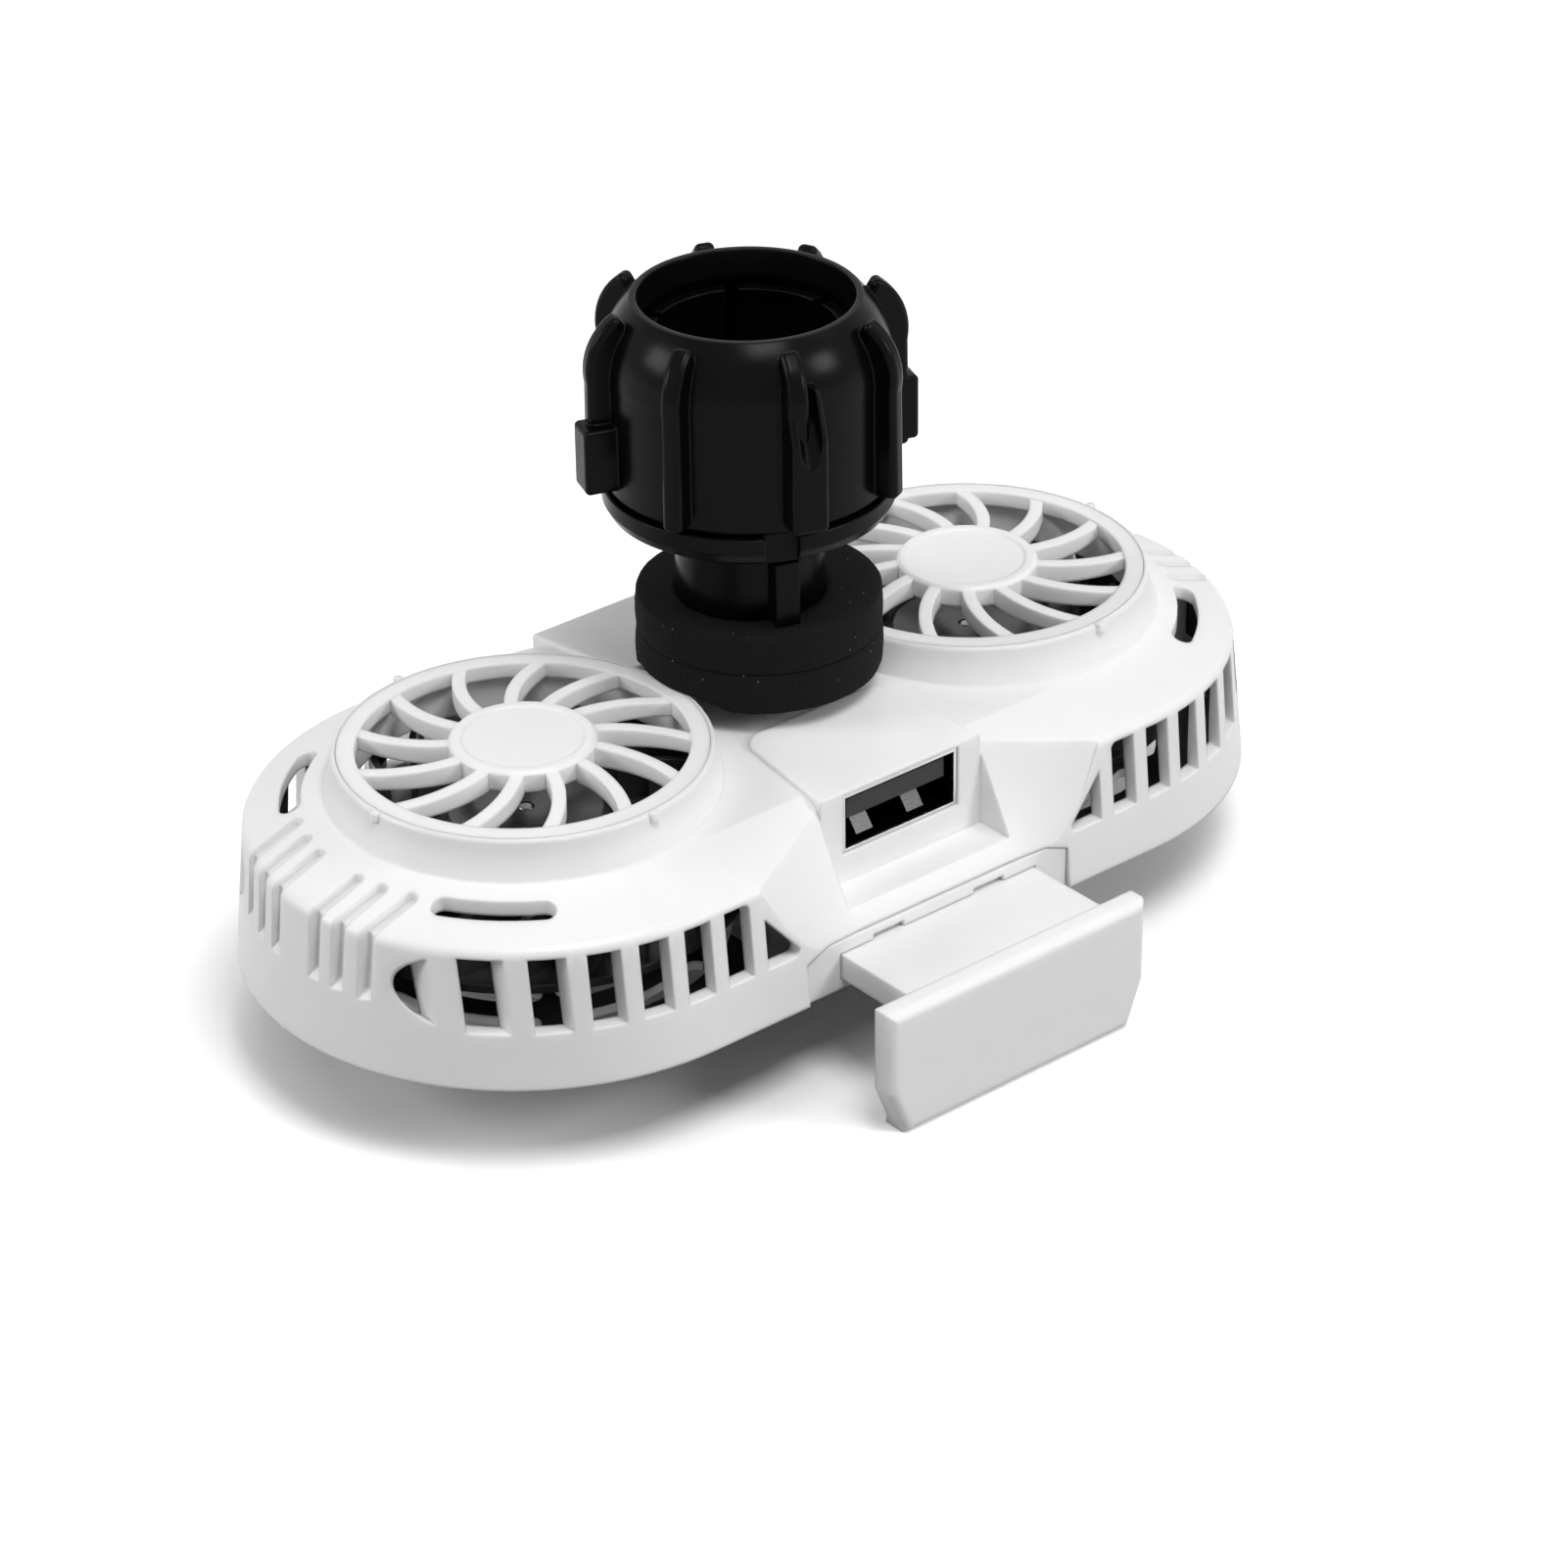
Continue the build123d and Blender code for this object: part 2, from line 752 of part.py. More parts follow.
# Phone pads: four soft strips and a middle pad, set in the base cover
with BuildPart() as contact_pads:
    with BuildSketch(Plane.XY) as pad_plans:
        with GridLocations(2 * fan_x, 2 * pad_y, 2, 2):
            RectangleRounded(pad_long, pad_wide, pad_t)
        RectangleRounded(middle_pad_long, middle_pad_wide, pad_t)
    extrude(amount=pad_t)
contact_pads.part.label = "contact_pads"
export_step(contact_pads.part, "parts/contact_pads.step")

# Near jaw: the hook that grips the phone's side
with BuildPart() as hook:
    with BuildSketch(Plane.YZ.offset(-hook_half)) as hook_side:
        with BuildLine():
            Polyline(
                (-hook_outer_y, hook_top_z),
                (-hook_inner_y, hook_top_z),
                (-hook_inner_y, toe_z),
                (-hook_inner_y + toe_reach, hook_low_z),
                (-hook_outer_y, hook_low_z),
                close=True,
            )
        make_face()
    extrude(amount=2 * hook_half)
    with BuildSketch(Plane.XZ.offset(hook_inner_y - wall)) as hook_front:
        with BuildLine():
            Polyline(
                (-hook_half, hook_top_z),
                (hook_half, hook_top_z),
                (hook_half, hook_low_z + hook_draw_z),
                (hook_half - hook_draw_in, hook_low_z),
                (-hook_half + hook_draw_in, hook_low_z),
                (-hook_half, hook_low_z + hook_draw_z),
                close=True,
            )
        make_face()
    extrude(amount=overrun, mode=Mode.INTERSECT)
    fillet(hook.faces().sort_by(Axis.Y)[0].edges(), radius=hook_round)

# Near jaw: the hook on a flat slide with two spring slots
with BuildPart() as near_jaw:
    with BuildSketch(Plane.XY.offset(jaw_low_z)) as slide:
        with Locations((0, -(hook_inner_y + jaw_tail_y) / 2)):
            Rectangle(2 * jaw_half, hook_inner_y - jaw_tail_y)
        with GridLocations(2 * jaw_slot_x, 0, 2, 1):
            with Locations((0, -(jaw_slot_end_y + jaw_tail_y) / 2)):
                Rectangle(jaw_slot_w, jaw_slot_end_y - jaw_tail_y, mode=Mode.SUBTRACT)
    extrude(amount=jaw_high_z - jaw_low_z)
    add(hook.part)
near_jaw.part.label = "near_jaw"
export_step(near_jaw.part, "parts/near_jaw.step")

# Far jaw: the same moulding turned round
with BuildPart() as far_jaw:
    mirror(near_jaw.part, about=Plane.XZ)
far_jaw.part.label = "far_jaw"
export_step(far_jaw.part, "parts/far_jaw.step")

# Jaw springs: a closed pair for each jaw, from its slot's end to the fixed anchor pins
spring_z = (jaw_low_z + jaw_high_z) / 2
spring_start_y = anchor_y + anchor_r + seat_gap
with BuildPart() as near_jaw_springs:
    with BuildSketch(Plane.XZ.offset(spring_start_y)) as spring_ends:
        with Locations((0, spring_z)):
            with GridLocations(2 * jaw_slot_x, 0, 2, 1):
                Circle(spring_r)
                Circle(spring_r - spring_wire, mode=Mode.SUBTRACT)
    extrude(amount=jaw_slot_end_y - seat_gap - spring_start_y)
near_jaw_springs.part.label = "near_jaw_springs"
export_step(near_jaw_springs.part, "parts/near_jaw_springs.step")
with BuildPart() as far_jaw_springs:
    mirror(near_jaw_springs.part, about=Plane.XZ)
far_jaw_springs.part.label = "far_jaw_springs"
export_step(far_jaw_springs.part, "parts/far_jaw_springs.step")

# Jaw guide: the plate that keeps both jaws down, with four posts for the circuit board
guide_half = jaw_half + jaw_gap + rail_t
board_spots = [
    (x, side * (board_front_y - inset))
    for side in (-1, 1)
    for x in (-board_post_x, board_post_x)
    for inset in board_post_insets
]
with BuildPart() as jaw_guide:
    with BuildSketch(Plane.XY.offset(guide_low_z)) as guide_plan:
        Rectangle(2 * guide_half, 2 * rail_end_y)
        with GridLocations(2 * (jaw_half + jaw_gap) + rail_t, 2 * guide_screw_y, 2, 2):
            Circle(guide_screw_r + seat_gap, mode=Mode.SUBTRACT)
    extrude(amount=guide_t)
    with BuildSketch(Plane.XY.offset(guide_top_z)) as board_posts:
        with Locations(*board_spots):
            Circle(board_post_r)
    extrude(amount=board_low_z - guide_top_z)
jaw_guide.part.label = "jaw_guide"
export_step(jaw_guide.part, "parts/jaw_guide.step")


# One pan-head screw that points up, with its slot, seated under a head plane
def screw_body(seat_z, shank_r, length, head_r, head_t, up):
    with BuildPart() as screw:
        with BuildSketch(Plane.XY.offset(seat_z)):
            Circle(shank_r)
        extrude(amount=up * length)
        with BuildSketch(Plane.XY.offset(seat_z)):
            Circle(head_r)
        extrude(amount=-up * head_t)
        with BuildSketch(Plane.XY.offset(seat_z - up * head_t)):
            Rectangle(2 * head_r, screw_slot_w)
        extrude(amount=up * screw_slot_depth, mode=Mode.SUBTRACT)
    return screw.part


# Case screws: up through the base cover into the upper cover's posts
case_screw = screw_body(
    foot_z + screw_head_t + seat_gap, screw_r, screw_length, screw_head_r, screw_head_t, 1
)
with BuildPart() as case_screws:
    with Locations(*post_spots):
        add(case_screw)
case_screws.part.label = "case_screws"
export_step(case_screws.part, "parts/case_screws.step")

# Guide screws: down through the jaw guide into the rails
guide_screw = screw_body(
    guide_top_z, guide_screw_r, guide_screw_length, guide_screw_head_r, guide_screw_head_t, -1
)
with BuildPart() as guide_screws:
    with GridLocations(2 * (jaw_half + jaw_gap) + rail_t, 2 * guide_screw_y, 2, 2):
        add(guide_screw)
guide_screws.part.label = "guide_screws"
export_step(guide_screws.part, "parts/guide_screws.step")

# Circuit board: narrow between the fans and wide at both ports
board_waist = fan_x - chamber_r - partition_t - seat_gap
with BuildPart() as circuit_board:
    with BuildSketch(Plane.XY.offset(board_low_z)) as board_plan:
        Rectangle(2 * board_waist, 2 * board_front_y)
        with GridLocations(0, board_front_y + board_back_y, 1, 2):
            Rectangle(2 * board_half, board_front_y - board_back_y)
    extrude(amount=board_t)
circuit_board.part.label = "circuit_board"
export_step(circuit_board.part, "parts/circuit_board.step")

# USB-A receptacle: folded metal shell, plastic tongue and contact strips
tongue_top_z = port_z + shell_h / 2 - shell_wall - tongue_drop
with BuildPart() as usb_shell:
    with BuildSketch(Plane.XZ.offset(shell_front_y)) as shell_end:
        with Locations((0, port_z)):
            Rectangle(shell_w, shell_h)
            Rectangle(shell_w - 2 * shell_wall, shell_h - 2 * shell_wall, mode=Mode.SUBTRACT)
    extrude(amount=-shell_depth)
    tab_low_z = port_z - shell_h / 2 + shell_wall / 2
    for side in (-1, 1):
        with BuildSketch(Plane.YZ.offset(side * shell_w * tab_x_share - tab_w / 2)) as tab_side:
            with BuildLine():
                Polyline(
                    (tab_nose - shell_front_y, tab_low_z),
                    (tab_crest - shell_front_y, tab_low_z + tab_rise),
                    (tab_end - tab_crest + tab_nose - shell_front_y, tab_low_z + tab_rise),
                    (tab_end - shell_front_y, tab_low_z),
                )
            trace(line_width=tab_t)
        extrude(amount=tab_w)
usb_shell.part.label = "usb_shell"
export_step(usb_shell.part, "parts/usb_shell.step")
with BuildPart() as usb_tongue:
    with BuildSketch(Plane.XZ.offset(shell_front_y - shell_depth + tongue_back)) as tongue_root:
        with Locations((0, port_z)):
            Rectangle(shell_w - 2 * shell_wall, shell_h - 2 * shell_wall)
    extrude(amount=-tongue_back)
    with BuildSketch(Plane.XZ.offset(shell_front_y - tongue_set_back)) as tongue_end:
        with Locations((0, tongue_top_z - tongue_t / 2)):
            Rectangle(tongue_w, tongue_t)
    extrude(amount=-(shell_depth - tongue_set_back - tongue_back))
usb_tongue.part.label = "usb_tongue"
export_step(usb_tongue.part, "parts/usb_tongue.step")
contact_z = tongue_top_z - tongue_t - contact_t / 2
contact_spots = [(tongue_w * x_share, contact_z) for x_share in contact_x_shares]
with BuildPart() as usb_contacts:
    with BuildSketch(Plane.XZ.offset(shell_front_y - 2 * tongue_set_back)) as contact_ends:
        with Locations(*contact_spots):
            Rectangle(contact_w, contact_t)
    extrude(amount=-(shell_depth - 2 * tongue_set_back - tongue_back))
usb_contacts.part.label = "usb_contacts"
export_step(usb_contacts.part, "parts/usb_contacts.step")

# Power inlet: an oval metal shell on the board's far end, with its tongue
with BuildPart() as inlet_shell:
    with BuildSketch(Plane.XZ.offset(-inlet_front_y)) as inlet_end:
        with Locations((0, inlet_z)):
            RectangleRounded(inlet_w, inlet_h, inlet_h / 2 - fine)
            inner_h = inlet_h - 2 * inlet_wall
            RectangleRounded(inlet_w - 2 * inlet_wall, inner_h, inner_h / 2 - fine, mode=Mode.SUBTRACT)
    extrude(amount=inlet_depth)
inlet_shell.part.label = "inlet_shell"
export_step(inlet_shell.part, "parts/inlet_shell.step")
with BuildPart() as inlet_tongue:
    with BuildSketch(Plane.XZ.offset(inlet_depth - inlet_front_y - inlet_wall)) as inlet_root:
        with Locations((0, inlet_z)):
            inner_h = inlet_h - 2 * inlet_wall
            RectangleRounded(inlet_w - 2 * inlet_wall, inner_h, inner_h / 2 - fine)
    extrude(amount=inlet_wall)
    with BuildSketch(Plane.XZ.offset(inlet_set_back - inlet_front_y)) as inlet_blade:
        with Locations((0, inlet_z)):
            Rectangle(inlet_tongue_w, inlet_tongue_t)
    extrude(amount=inlet_depth - inlet_set_back)
inlet_tongue.part.label = "inlet_tongue"
export_step(inlet_tongue.part, "parts/inlet_tongue.step")

# Left grille: a ring, a dished hub and thirteen curved spokes, in one moulding
with BuildSketch() as spoke_ring:
    hub_end = spoke_outer_angle + spoke_sweep
    with PolarLocations(0, spoke_count):
        add(arm(hub_r - spoke_w / 2, hub_end, eye_r + spoke_w / 2, spoke_outer_angle, -spoke_lean, spoke_w))
with BuildPart() as left_grille:
    spokes_plan = spoke_ring.sketch.moved(Location((-fan_x, 0, spoke_outer_z - spoke_depth)))
    extrude(spokes_plan, amount=hub_top_z - spoke_outer_z + spoke_depth)
    with BuildSketch(left_upright) as crown_cut:
        with BuildLine():
            Polyline(
                (hub_r, spoke_hub_z),
                (eye_r, spoke_outer_z),
                (grille_ring_r, spoke_outer_z),
                (grille_ring_r, hub_top_z),
                (hub_r - spoke_w, hub_top_z),
                (hub_r - spoke_w, spoke_hub_z),
                close=True,
            )
        make_face()
    revolve(axis=left_axis, mode=Mode.SUBTRACT)
    with BuildSketch(left_level(grille_low_z)) as ring_plan:
        Circle(grille_ring_r)
        Circle(eye_r, mode=Mode.SUBTRACT)
    extrude(amount=grille_depth)
    with BuildSketch(left_upright) as hub_side:
        with BuildLine():
            Polyline(
                (0, hub_top_z - hub_depth),
                (hub_r, hub_top_z - hub_depth),
                (hub_r, hub_top_z - hub_round),
                (hub_r - hub_round, hub_top_z),
                (hub_dish_r, hub_top_z),
                (hub_dish_r - hub_dish_depth, hub_top_z - hub_dish_depth),
                (0, hub_top_z - hub_dish_depth),
                close=True,
            )
        make_face()
    revolve(axis=left_axis)
left_grille.part.label = "left_grille"
export_step(left_grille.part, "parts/left_grille.step")

# Left impeller: a cup over the motor, a disc and curved blades round the open eye
with BuildSketch() as blade_ring:
    with PolarLocations(0, blade_count):
        add(arm(lobe_r - blade_in_inset, blade_sweep, lobe_r - blade_out_inset, 0, -blade_lean, blade_w))
with BuildPart() as left_impeller:
    with BuildSketch(left_upright) as cup_side:
        with BuildLine():
            Polyline(
                (shaft_r, hub_cup_top_z),
                (hub_cup_r - hub_cup_round, hub_cup_top_z),
                (hub_cup_r, hub_cup_top_z - hub_cup_round),
                (hub_cup_r, disc_low_z + disc_t),
                (impeller_r, disc_low_z + disc_t),
                (impeller_r, disc_low_z),
                (hub_cup_r, disc_low_z),
                (hub_cup_r, hub_cup_low_z),
                (hub_cup_r - hub_cup_wall, hub_cup_low_z),
                (hub_cup_r - hub_cup_wall, hub_cup_top_z - hub_cup_wall),
                (hub_stem_r, hub_cup_top_z - hub_cup_wall),
                (hub_stem_r, hub_cup_top_z - hub_stem_drop),
                (shaft_r, hub_cup_top_z - hub_stem_drop),
                close=True,
            )
        make_face()
    revolve(axis=left_axis)
    blades_plan = blade_ring.sketch.moved(Location((-fan_x, 0, disc_low_z + disc_t / 2)))
    extrude(blades_plan, amount=blade_top_z - disc_low_z - disc_t / 2)
left_impeller.part.label = "left_impeller"
export_step(left_impeller.part, "parts/left_impeller.step")

# Left shaft, with rounded ends
with BuildPart() as left_shaft:
    with BuildSketch(left_level(shaft_low_z)) as shaft_end:
        Circle(shaft_r)
    extrude(amount=hub_cup_top_z - shaft_low_z)
    chamfer(left_shaft.edges().filter_by(GeomType.CIRCLE), length=shaft_r / 3)
left_shaft.part.label = "left_shaft"
export_step(left_shaft.part, "parts/left_shaft.step")

# Left magnet: a ring inside the impeller's cup
with BuildPart() as left_magnet:
    with BuildSketch(left_level(magnet_low_z)) as magnet_end:
        Circle(hub_cup_r - hub_cup_wall)
        Circle(hub_cup_r - hub_cup_wall - magnet_t, mode=Mode.SUBTRACT)
    extrude(amount=magnet_high_z - magnet_low_z)
left_magnet.part.label = "left_magnet"
export_step(left_magnet.part, "parts/left_magnet.step")

# Left bearing: a plain sleeve round the shaft
with BuildPart() as left_bearing:
    with BuildSketch(left_level(bearing_low_z)) as bearing_end:
        Circle(bearing_r)
        Circle(shaft_r + run_gap, mode=Mode.SUBTRACT)
    extrude(amount=bearing_high_z - bearing_low_z)
left_bearing.part.label = "left_bearing"
export_step(left_bearing.part, "parts/left_bearing.step")

# Left motor base: a flange on the base cover and the tube that holds the bearing
with BuildPart() as left_motor_base:
    with BuildSketch(left_upright) as tube_side:
        with BuildLine():
            Polyline(
                (0, plate_top_z),
                (motor_flange_r, plate_top_z),
                (motor_flange_r, plate_top_z + motor_flange_t),
                (tube_r, plate_top_z + motor_flange_t),
                (tube_r, bearing_high_z),
                (bearing_r, bearing_high_z),
                (bearing_r, bearing_low_z),
                (shaft_r + run_gap, bearing_low_z),
                (shaft_r + run_gap, shaft_low_z - seat_gap),
                (0, shaft_low_z - seat_gap),
                close=True,
            )
        make_face()
    revolve(axis=left_axis)
left_motor_base.part.label = "left_motor_base"
export_step(left_motor_base.part, "parts/left_motor_base.step")

# Left stator core: a sleeve and four poles with wide tips
with BuildPart() as left_stator:
    with BuildSketch(left_level(core_low_z)) as core_plan:
        Circle(pole_r)
        Circle(pole_r - pole_tip_t, mode=Mode.SUBTRACT)
        with PolarLocations((pole_r + core_hub_r) / 2, pole_count, start_angle=diagonal):
            Rectangle(pole_r, pole_neck_w, mode=Mode.SUBTRACT)
        Circle(core_hub_r)
        with PolarLocations((pole_r - pole_tip_t / 2) / 2, pole_count):
            Rectangle(pole_r - pole_tip_t / 2, pole_neck_w)
        Circle(tube_r, mode=Mode.SUBTRACT)
    extrude(amount=core_high_z - core_low_z)
left_stator.part.label = "left_stator"
export_step(left_stator.part, "parts/left_stator.step")

# Left coils: one winding round each pole's neck
coil_plane = Plane(origin=(-fan_x + core_hub_r, 0, 0), z_dir=(1, 0, 0), x_dir=(0, 1, 0))
with BuildPart() as left_coils:
    for number in range(pole_count):
        with BuildSketch(coil_plane) as coil_side:
            with Locations((0, (core_low_z + core_high_z) / 2)):
                Rectangle(pole_neck_w + 2 * coil_t, core_high_z - core_low_z + 2 * coil_t)
                Rectangle(pole_neck_w, core_high_z - core_low_z, mode=Mode.SUBTRACT)
        coil = extrude(amount=coil_out_r - core_hub_r, mode=Mode.PRIVATE)
        add(coil.rotate(left_axis, number * 360 / pole_count))
left_coils.part.label = "left_coils"
export_step(left_coils.part, "parts/left_coils.step")

# Left motor board: a small ring that the coils are wired to
with BuildPart() as left_motor_board:
    with BuildSketch(left_level(motor_board_z)) as motor_board_plan:
        Circle(motor_board_r)
        Circle(tube_r, mode=Mode.SUBTRACT)
    extrude(amount=motor_board_t)
left_motor_board.part.label = "left_motor_board"
export_step(left_motor_board.part, "parts/left_motor_board.step")

# The right fan is the left one's mirror image, piece by piece
fan_pieces = {
    "grille": left_grille,
    "impeller": left_impeller,
    "shaft": left_shaft,
    "magnet": left_magnet,
    "bearing": left_bearing,
    "motor_base": left_motor_base,
    "stator": left_stator,
    "coils": left_coils,
    "motor_board": left_motor_board,
}
for piece_name, piece in fan_pieces.items():
    with BuildPart() as twin:
        mirror(piece.part, about=Plane.YZ)
    twin.part.label = "right_" + piece_name
    export_step(twin.part, "parts/right_" + piece_name + ".step")

# Lower foam pad: lies on both collars
with BuildPart() as foam_pad_lower:
    with BuildSketch(foam_level(collar_top_z)) as lower_plan:
        Circle(foam_r)
    extrude(amount=foam_seam_z - collar_top_z)
foam_pad_lower.part.label = "foam_pad_lower"
export_step(foam_pad_lower.part, "parts/foam_pad_lower.step")

# Upper foam pad: a ring over the socket's foot
with BuildPart() as foam_pad_upper:
    with BuildSketch(foam_level(foam_seam_z)) as upper_plan:
        Circle(foam_r)
    extrude(amount=foam_top_z - foam_seam_z)
    fillet(foam_pad_upper.edges().group_by(Axis.Z)[-1], radius=foam_round)
    with BuildSketch(Plane.XY.offset(foam_seam_z)) as foot_room:
        Circle(socket_plate_r + seat_gap)
    extrude(amount=socket_plate_t + seat_gap, mode=Mode.SUBTRACT)
    with BuildSketch(Plane.XY.offset(foam_seam_z)) as neck_room:
        Circle(neck_r + seat_gap)
    extrude(amount=overrun, mode=Mode.SUBTRACT)
foam_pad_upper.part.label = "foam_pad_upper"
export_step(foam_pad_upper.part, "parts/foam_pad_upper.step")

# Socket cup: foot, neck with one fin, threaded barrel and six split fingers round the ball
with BuildPart() as socket_cup:
    with BuildSketch(Plane.XZ) as cup_turned:
        with BuildLine():
            Polyline(
                (0, foam_seam_z),
                (socket_plate_r, foam_seam_z),
                (socket_plate_r, foam_seam_z + socket_plate_t),
                (neck_r, foam_seam_z + socket_plate_t),
                (neck_r, neck_top_z),
                (bowl_r, bowl_z),
                (flange_low_r, flange_low_z),
                (flange_mid_r, flange_mid_z),
                (flange_r, flange_side_z),
                (flange_r, flange_top_z),
                (thread_r, flange_top_z),
                (thread_r, thread_top_z),
                (finger_top_r, finger_top_z),
                (0, finger_top_z),
                close=True,
            )
        make_face()
    revolve(axis=Axis.Z)
    with BuildSketch(radial_plane(fin_angle)) as fin_side:
        with BuildLine():
            Polyline(
                (0, foam_top_z + seat_gap),
                (fin_reach, foam_top_z + seat_gap),
                (fin_reach, fin_top_z),
                (0, fin_top_z),
                close=True,
            )
        make_face()
    extrude(amount=fin_t / 2, both=True)
    with BuildSketch(radial_plane(flange_notch_angle)) as flange_notch:
        with BuildLine():
            Polyline(
                (flange_notch_r, bowl_z),
                (flange_notch_r, flange_top_z),
                (2 * flange_r, flange_top_z),
                (2 * flange_r, bowl_z),
                close=True,
            )
        make_face()
    extrude(amount=flange_notch_w / 2, both=True, mode=Mode.SUBTRACT)
    with BuildSketch(Plane.XZ) as ball_half:
        with Locations((0, ball_z)):
            Circle(ball_r + ball_gap)
        with Locations((-lobe_r, ball_z)):
            Rectangle(2 * lobe_r, 4 * ball_r, mode=Mode.SUBTRACT)
    revolve(axis=Axis.Z, mode=Mode.SUBTRACT)
    with BuildSketch(Plane.XY.offset(finger_slit_z)) as slits:
        with PolarLocations(thread_r / 2, finger_count):
            Rectangle(thread_r + finger_slit_w, finger_slit_w)
    extrude(amount=overrun, mode=Mode.SUBTRACT)
socket_cup.part.label = "socket_cup"
export_step(socket_cup.part, "parts/socket_cup.step")

# Clamp nut: one rounded rib, which runs from the foot of the barrel onto the dome
rib_root_r = (thread_r + nut_thread_gap + nut_r) / 2
rib_seat_r = (finger_top_r + nut_dome_r + nut_rim_r) / 3
with BuildPart() as rib:
    with BuildSketch(radial_plane(rib_angle)) as rib_side:
        with BuildLine():
            foot_line = Polyline(
                (rib_root_r, rib_low_z),
                (rib_foot_r, rib_low_z),
                (rib_mid_r, rib_mid_z),
            )
            crest = ThreePointArc(foot_line @ 1, (rib_bend_r, rib_bend_z), (rib_tip_r, rib_tip_z))
            Polyline(
                crest @ 1,
                (rib_seat_r, nut_throat_z),
                (rib_root_r, nut_shoulder_z),
                (rib_root_r, rib_low_z),
            )
        make_face()
    extrude(amount=rib_w / 2, both=True)
    fillet(rib.edges(), radius=rib_round)

# Clamp nut: one tall grip lug, with a channel down its sloping top
lug_angle = rib_angle + lug_turn
with BuildPart() as tall_lug:
    with BuildSketch(radial_plane(lug_angle)) as tall_lug_side:
        with BuildLine():
            Polyline(
                (rib_root_r, lug_low_z),
                (lug_r, lug_low_z),
                (lug_r, lug_top_z),
                (lug_slope_r, lug_slope_z),
                (rib_root_r, lug_slope_z),
                close=True,
            )
        make_face()
    extrude(amount=lug_w / 2, both=True)
    fillet(tall_lug.edges(), radius=lug_round)
    channel_foot = radial_plane(lug_angle).from_local_coords(Vector(lug_r, lug_top_z, 0))
    channel_head = radial_plane(lug_angle).from_local_coords(Vector(lug_slope_r, lug_slope_z, 0))
    slope = channel_head - channel_foot
    with BuildSketch(Plane(origin=channel_foot - slope, z_dir=slope)) as channel:
        Circle(lug_groove_w / 2)
    extrude(amount=3 * slope.length, mode=Mode.SUBTRACT)

# Clamp nut: one short grip lug, a plain rounded block
with BuildPart() as short_lug:
    with BuildSketch(radial_plane(lug_angle)) as short_lug_side:
        with BuildLine():
            Polyline(
                (rib_root_r, lug_low_z),
                (lug_r, lug_low_z),
                (lug_r, short_lug_top_z),
                (rib_root_r, short_lug_top_z),
                close=True,
            )
        make_face()
    extrude(amount=lug_w / 2, both=True)
    fillet(short_lug.edges(), radius=lug_round)

# Clamp nut: a domed barrel with eight ribs, and tall and short grip lugs by turns
with BuildPart() as clamp_nut:
    with BuildSketch(Plane.XZ) as nut_turned:
        with BuildLine():
            side_line = Polyline(
                (thread_r + nut_thread_gap, nut_low_z),
                (nut_r, nut_low_z),
                (nut_r, nut_shoulder_z),
            )
            dome = ThreePointArc(side_line @ 1, (nut_dome_r, nut_dome_z), (nut_rim_r, nut_mouth_z))
            Polyline(
                dome @ 1,
                (nut_mouth_r, nut_mouth_z),
                (nut_throat_r, nut_throat_z),
                (finger_top_r + 2 * nut_thread_gap, nut_throat_z),
                (thread_r + nut_thread_gap, nut_cone_z),
                (thread_r + nut_thread_gap, nut_low_z),
            )
        make_face()
    revolve(axis=Axis.Z)
    for number in range(rib_count):
        turn = number * 360 / rib_count
        add(rib.part.rotate(Axis.Z, turn))
        if number % 4 == 1:
            add(tall_lug.part.rotate(Axis.Z, turn))
        if number % 4 == 3:
            add(short_lug.part.rotate(Axis.Z, turn))
clamp_nut.part.label = "clamp_nut"
export_step(clamp_nut.part, "parts/clamp_nut.step")
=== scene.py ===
import json
import math

import bmesh
import bpy
from mathutils import Matrix, Vector, noise


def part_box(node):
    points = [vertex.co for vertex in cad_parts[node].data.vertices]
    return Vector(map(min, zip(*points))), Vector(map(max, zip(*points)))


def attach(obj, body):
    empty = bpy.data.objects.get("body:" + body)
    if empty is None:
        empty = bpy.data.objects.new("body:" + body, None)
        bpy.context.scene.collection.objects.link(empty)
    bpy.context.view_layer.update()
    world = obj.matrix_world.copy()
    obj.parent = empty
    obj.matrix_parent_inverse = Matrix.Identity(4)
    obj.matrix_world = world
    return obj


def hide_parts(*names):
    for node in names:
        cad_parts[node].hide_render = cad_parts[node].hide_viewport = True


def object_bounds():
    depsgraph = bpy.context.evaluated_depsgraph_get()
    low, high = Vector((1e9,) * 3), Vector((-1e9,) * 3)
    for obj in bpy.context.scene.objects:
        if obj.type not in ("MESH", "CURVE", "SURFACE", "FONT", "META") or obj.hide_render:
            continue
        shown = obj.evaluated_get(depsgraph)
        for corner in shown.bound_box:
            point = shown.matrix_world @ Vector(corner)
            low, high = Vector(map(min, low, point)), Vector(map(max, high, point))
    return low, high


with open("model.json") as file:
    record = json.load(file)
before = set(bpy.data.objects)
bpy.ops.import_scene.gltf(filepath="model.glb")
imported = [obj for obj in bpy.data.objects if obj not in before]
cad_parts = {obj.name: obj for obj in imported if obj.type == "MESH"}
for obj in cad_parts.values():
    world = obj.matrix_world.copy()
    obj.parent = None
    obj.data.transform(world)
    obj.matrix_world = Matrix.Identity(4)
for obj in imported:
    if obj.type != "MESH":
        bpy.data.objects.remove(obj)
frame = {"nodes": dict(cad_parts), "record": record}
cadLow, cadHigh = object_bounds()
nodes = frame["nodes"]
mm = 0.001
print("frame loaded:", len(nodes), "pieces")

bevelSamples = 6
mixFirst, mixSecond, mixResult = 6, 7, 2  # the colour sockets of a Mix node


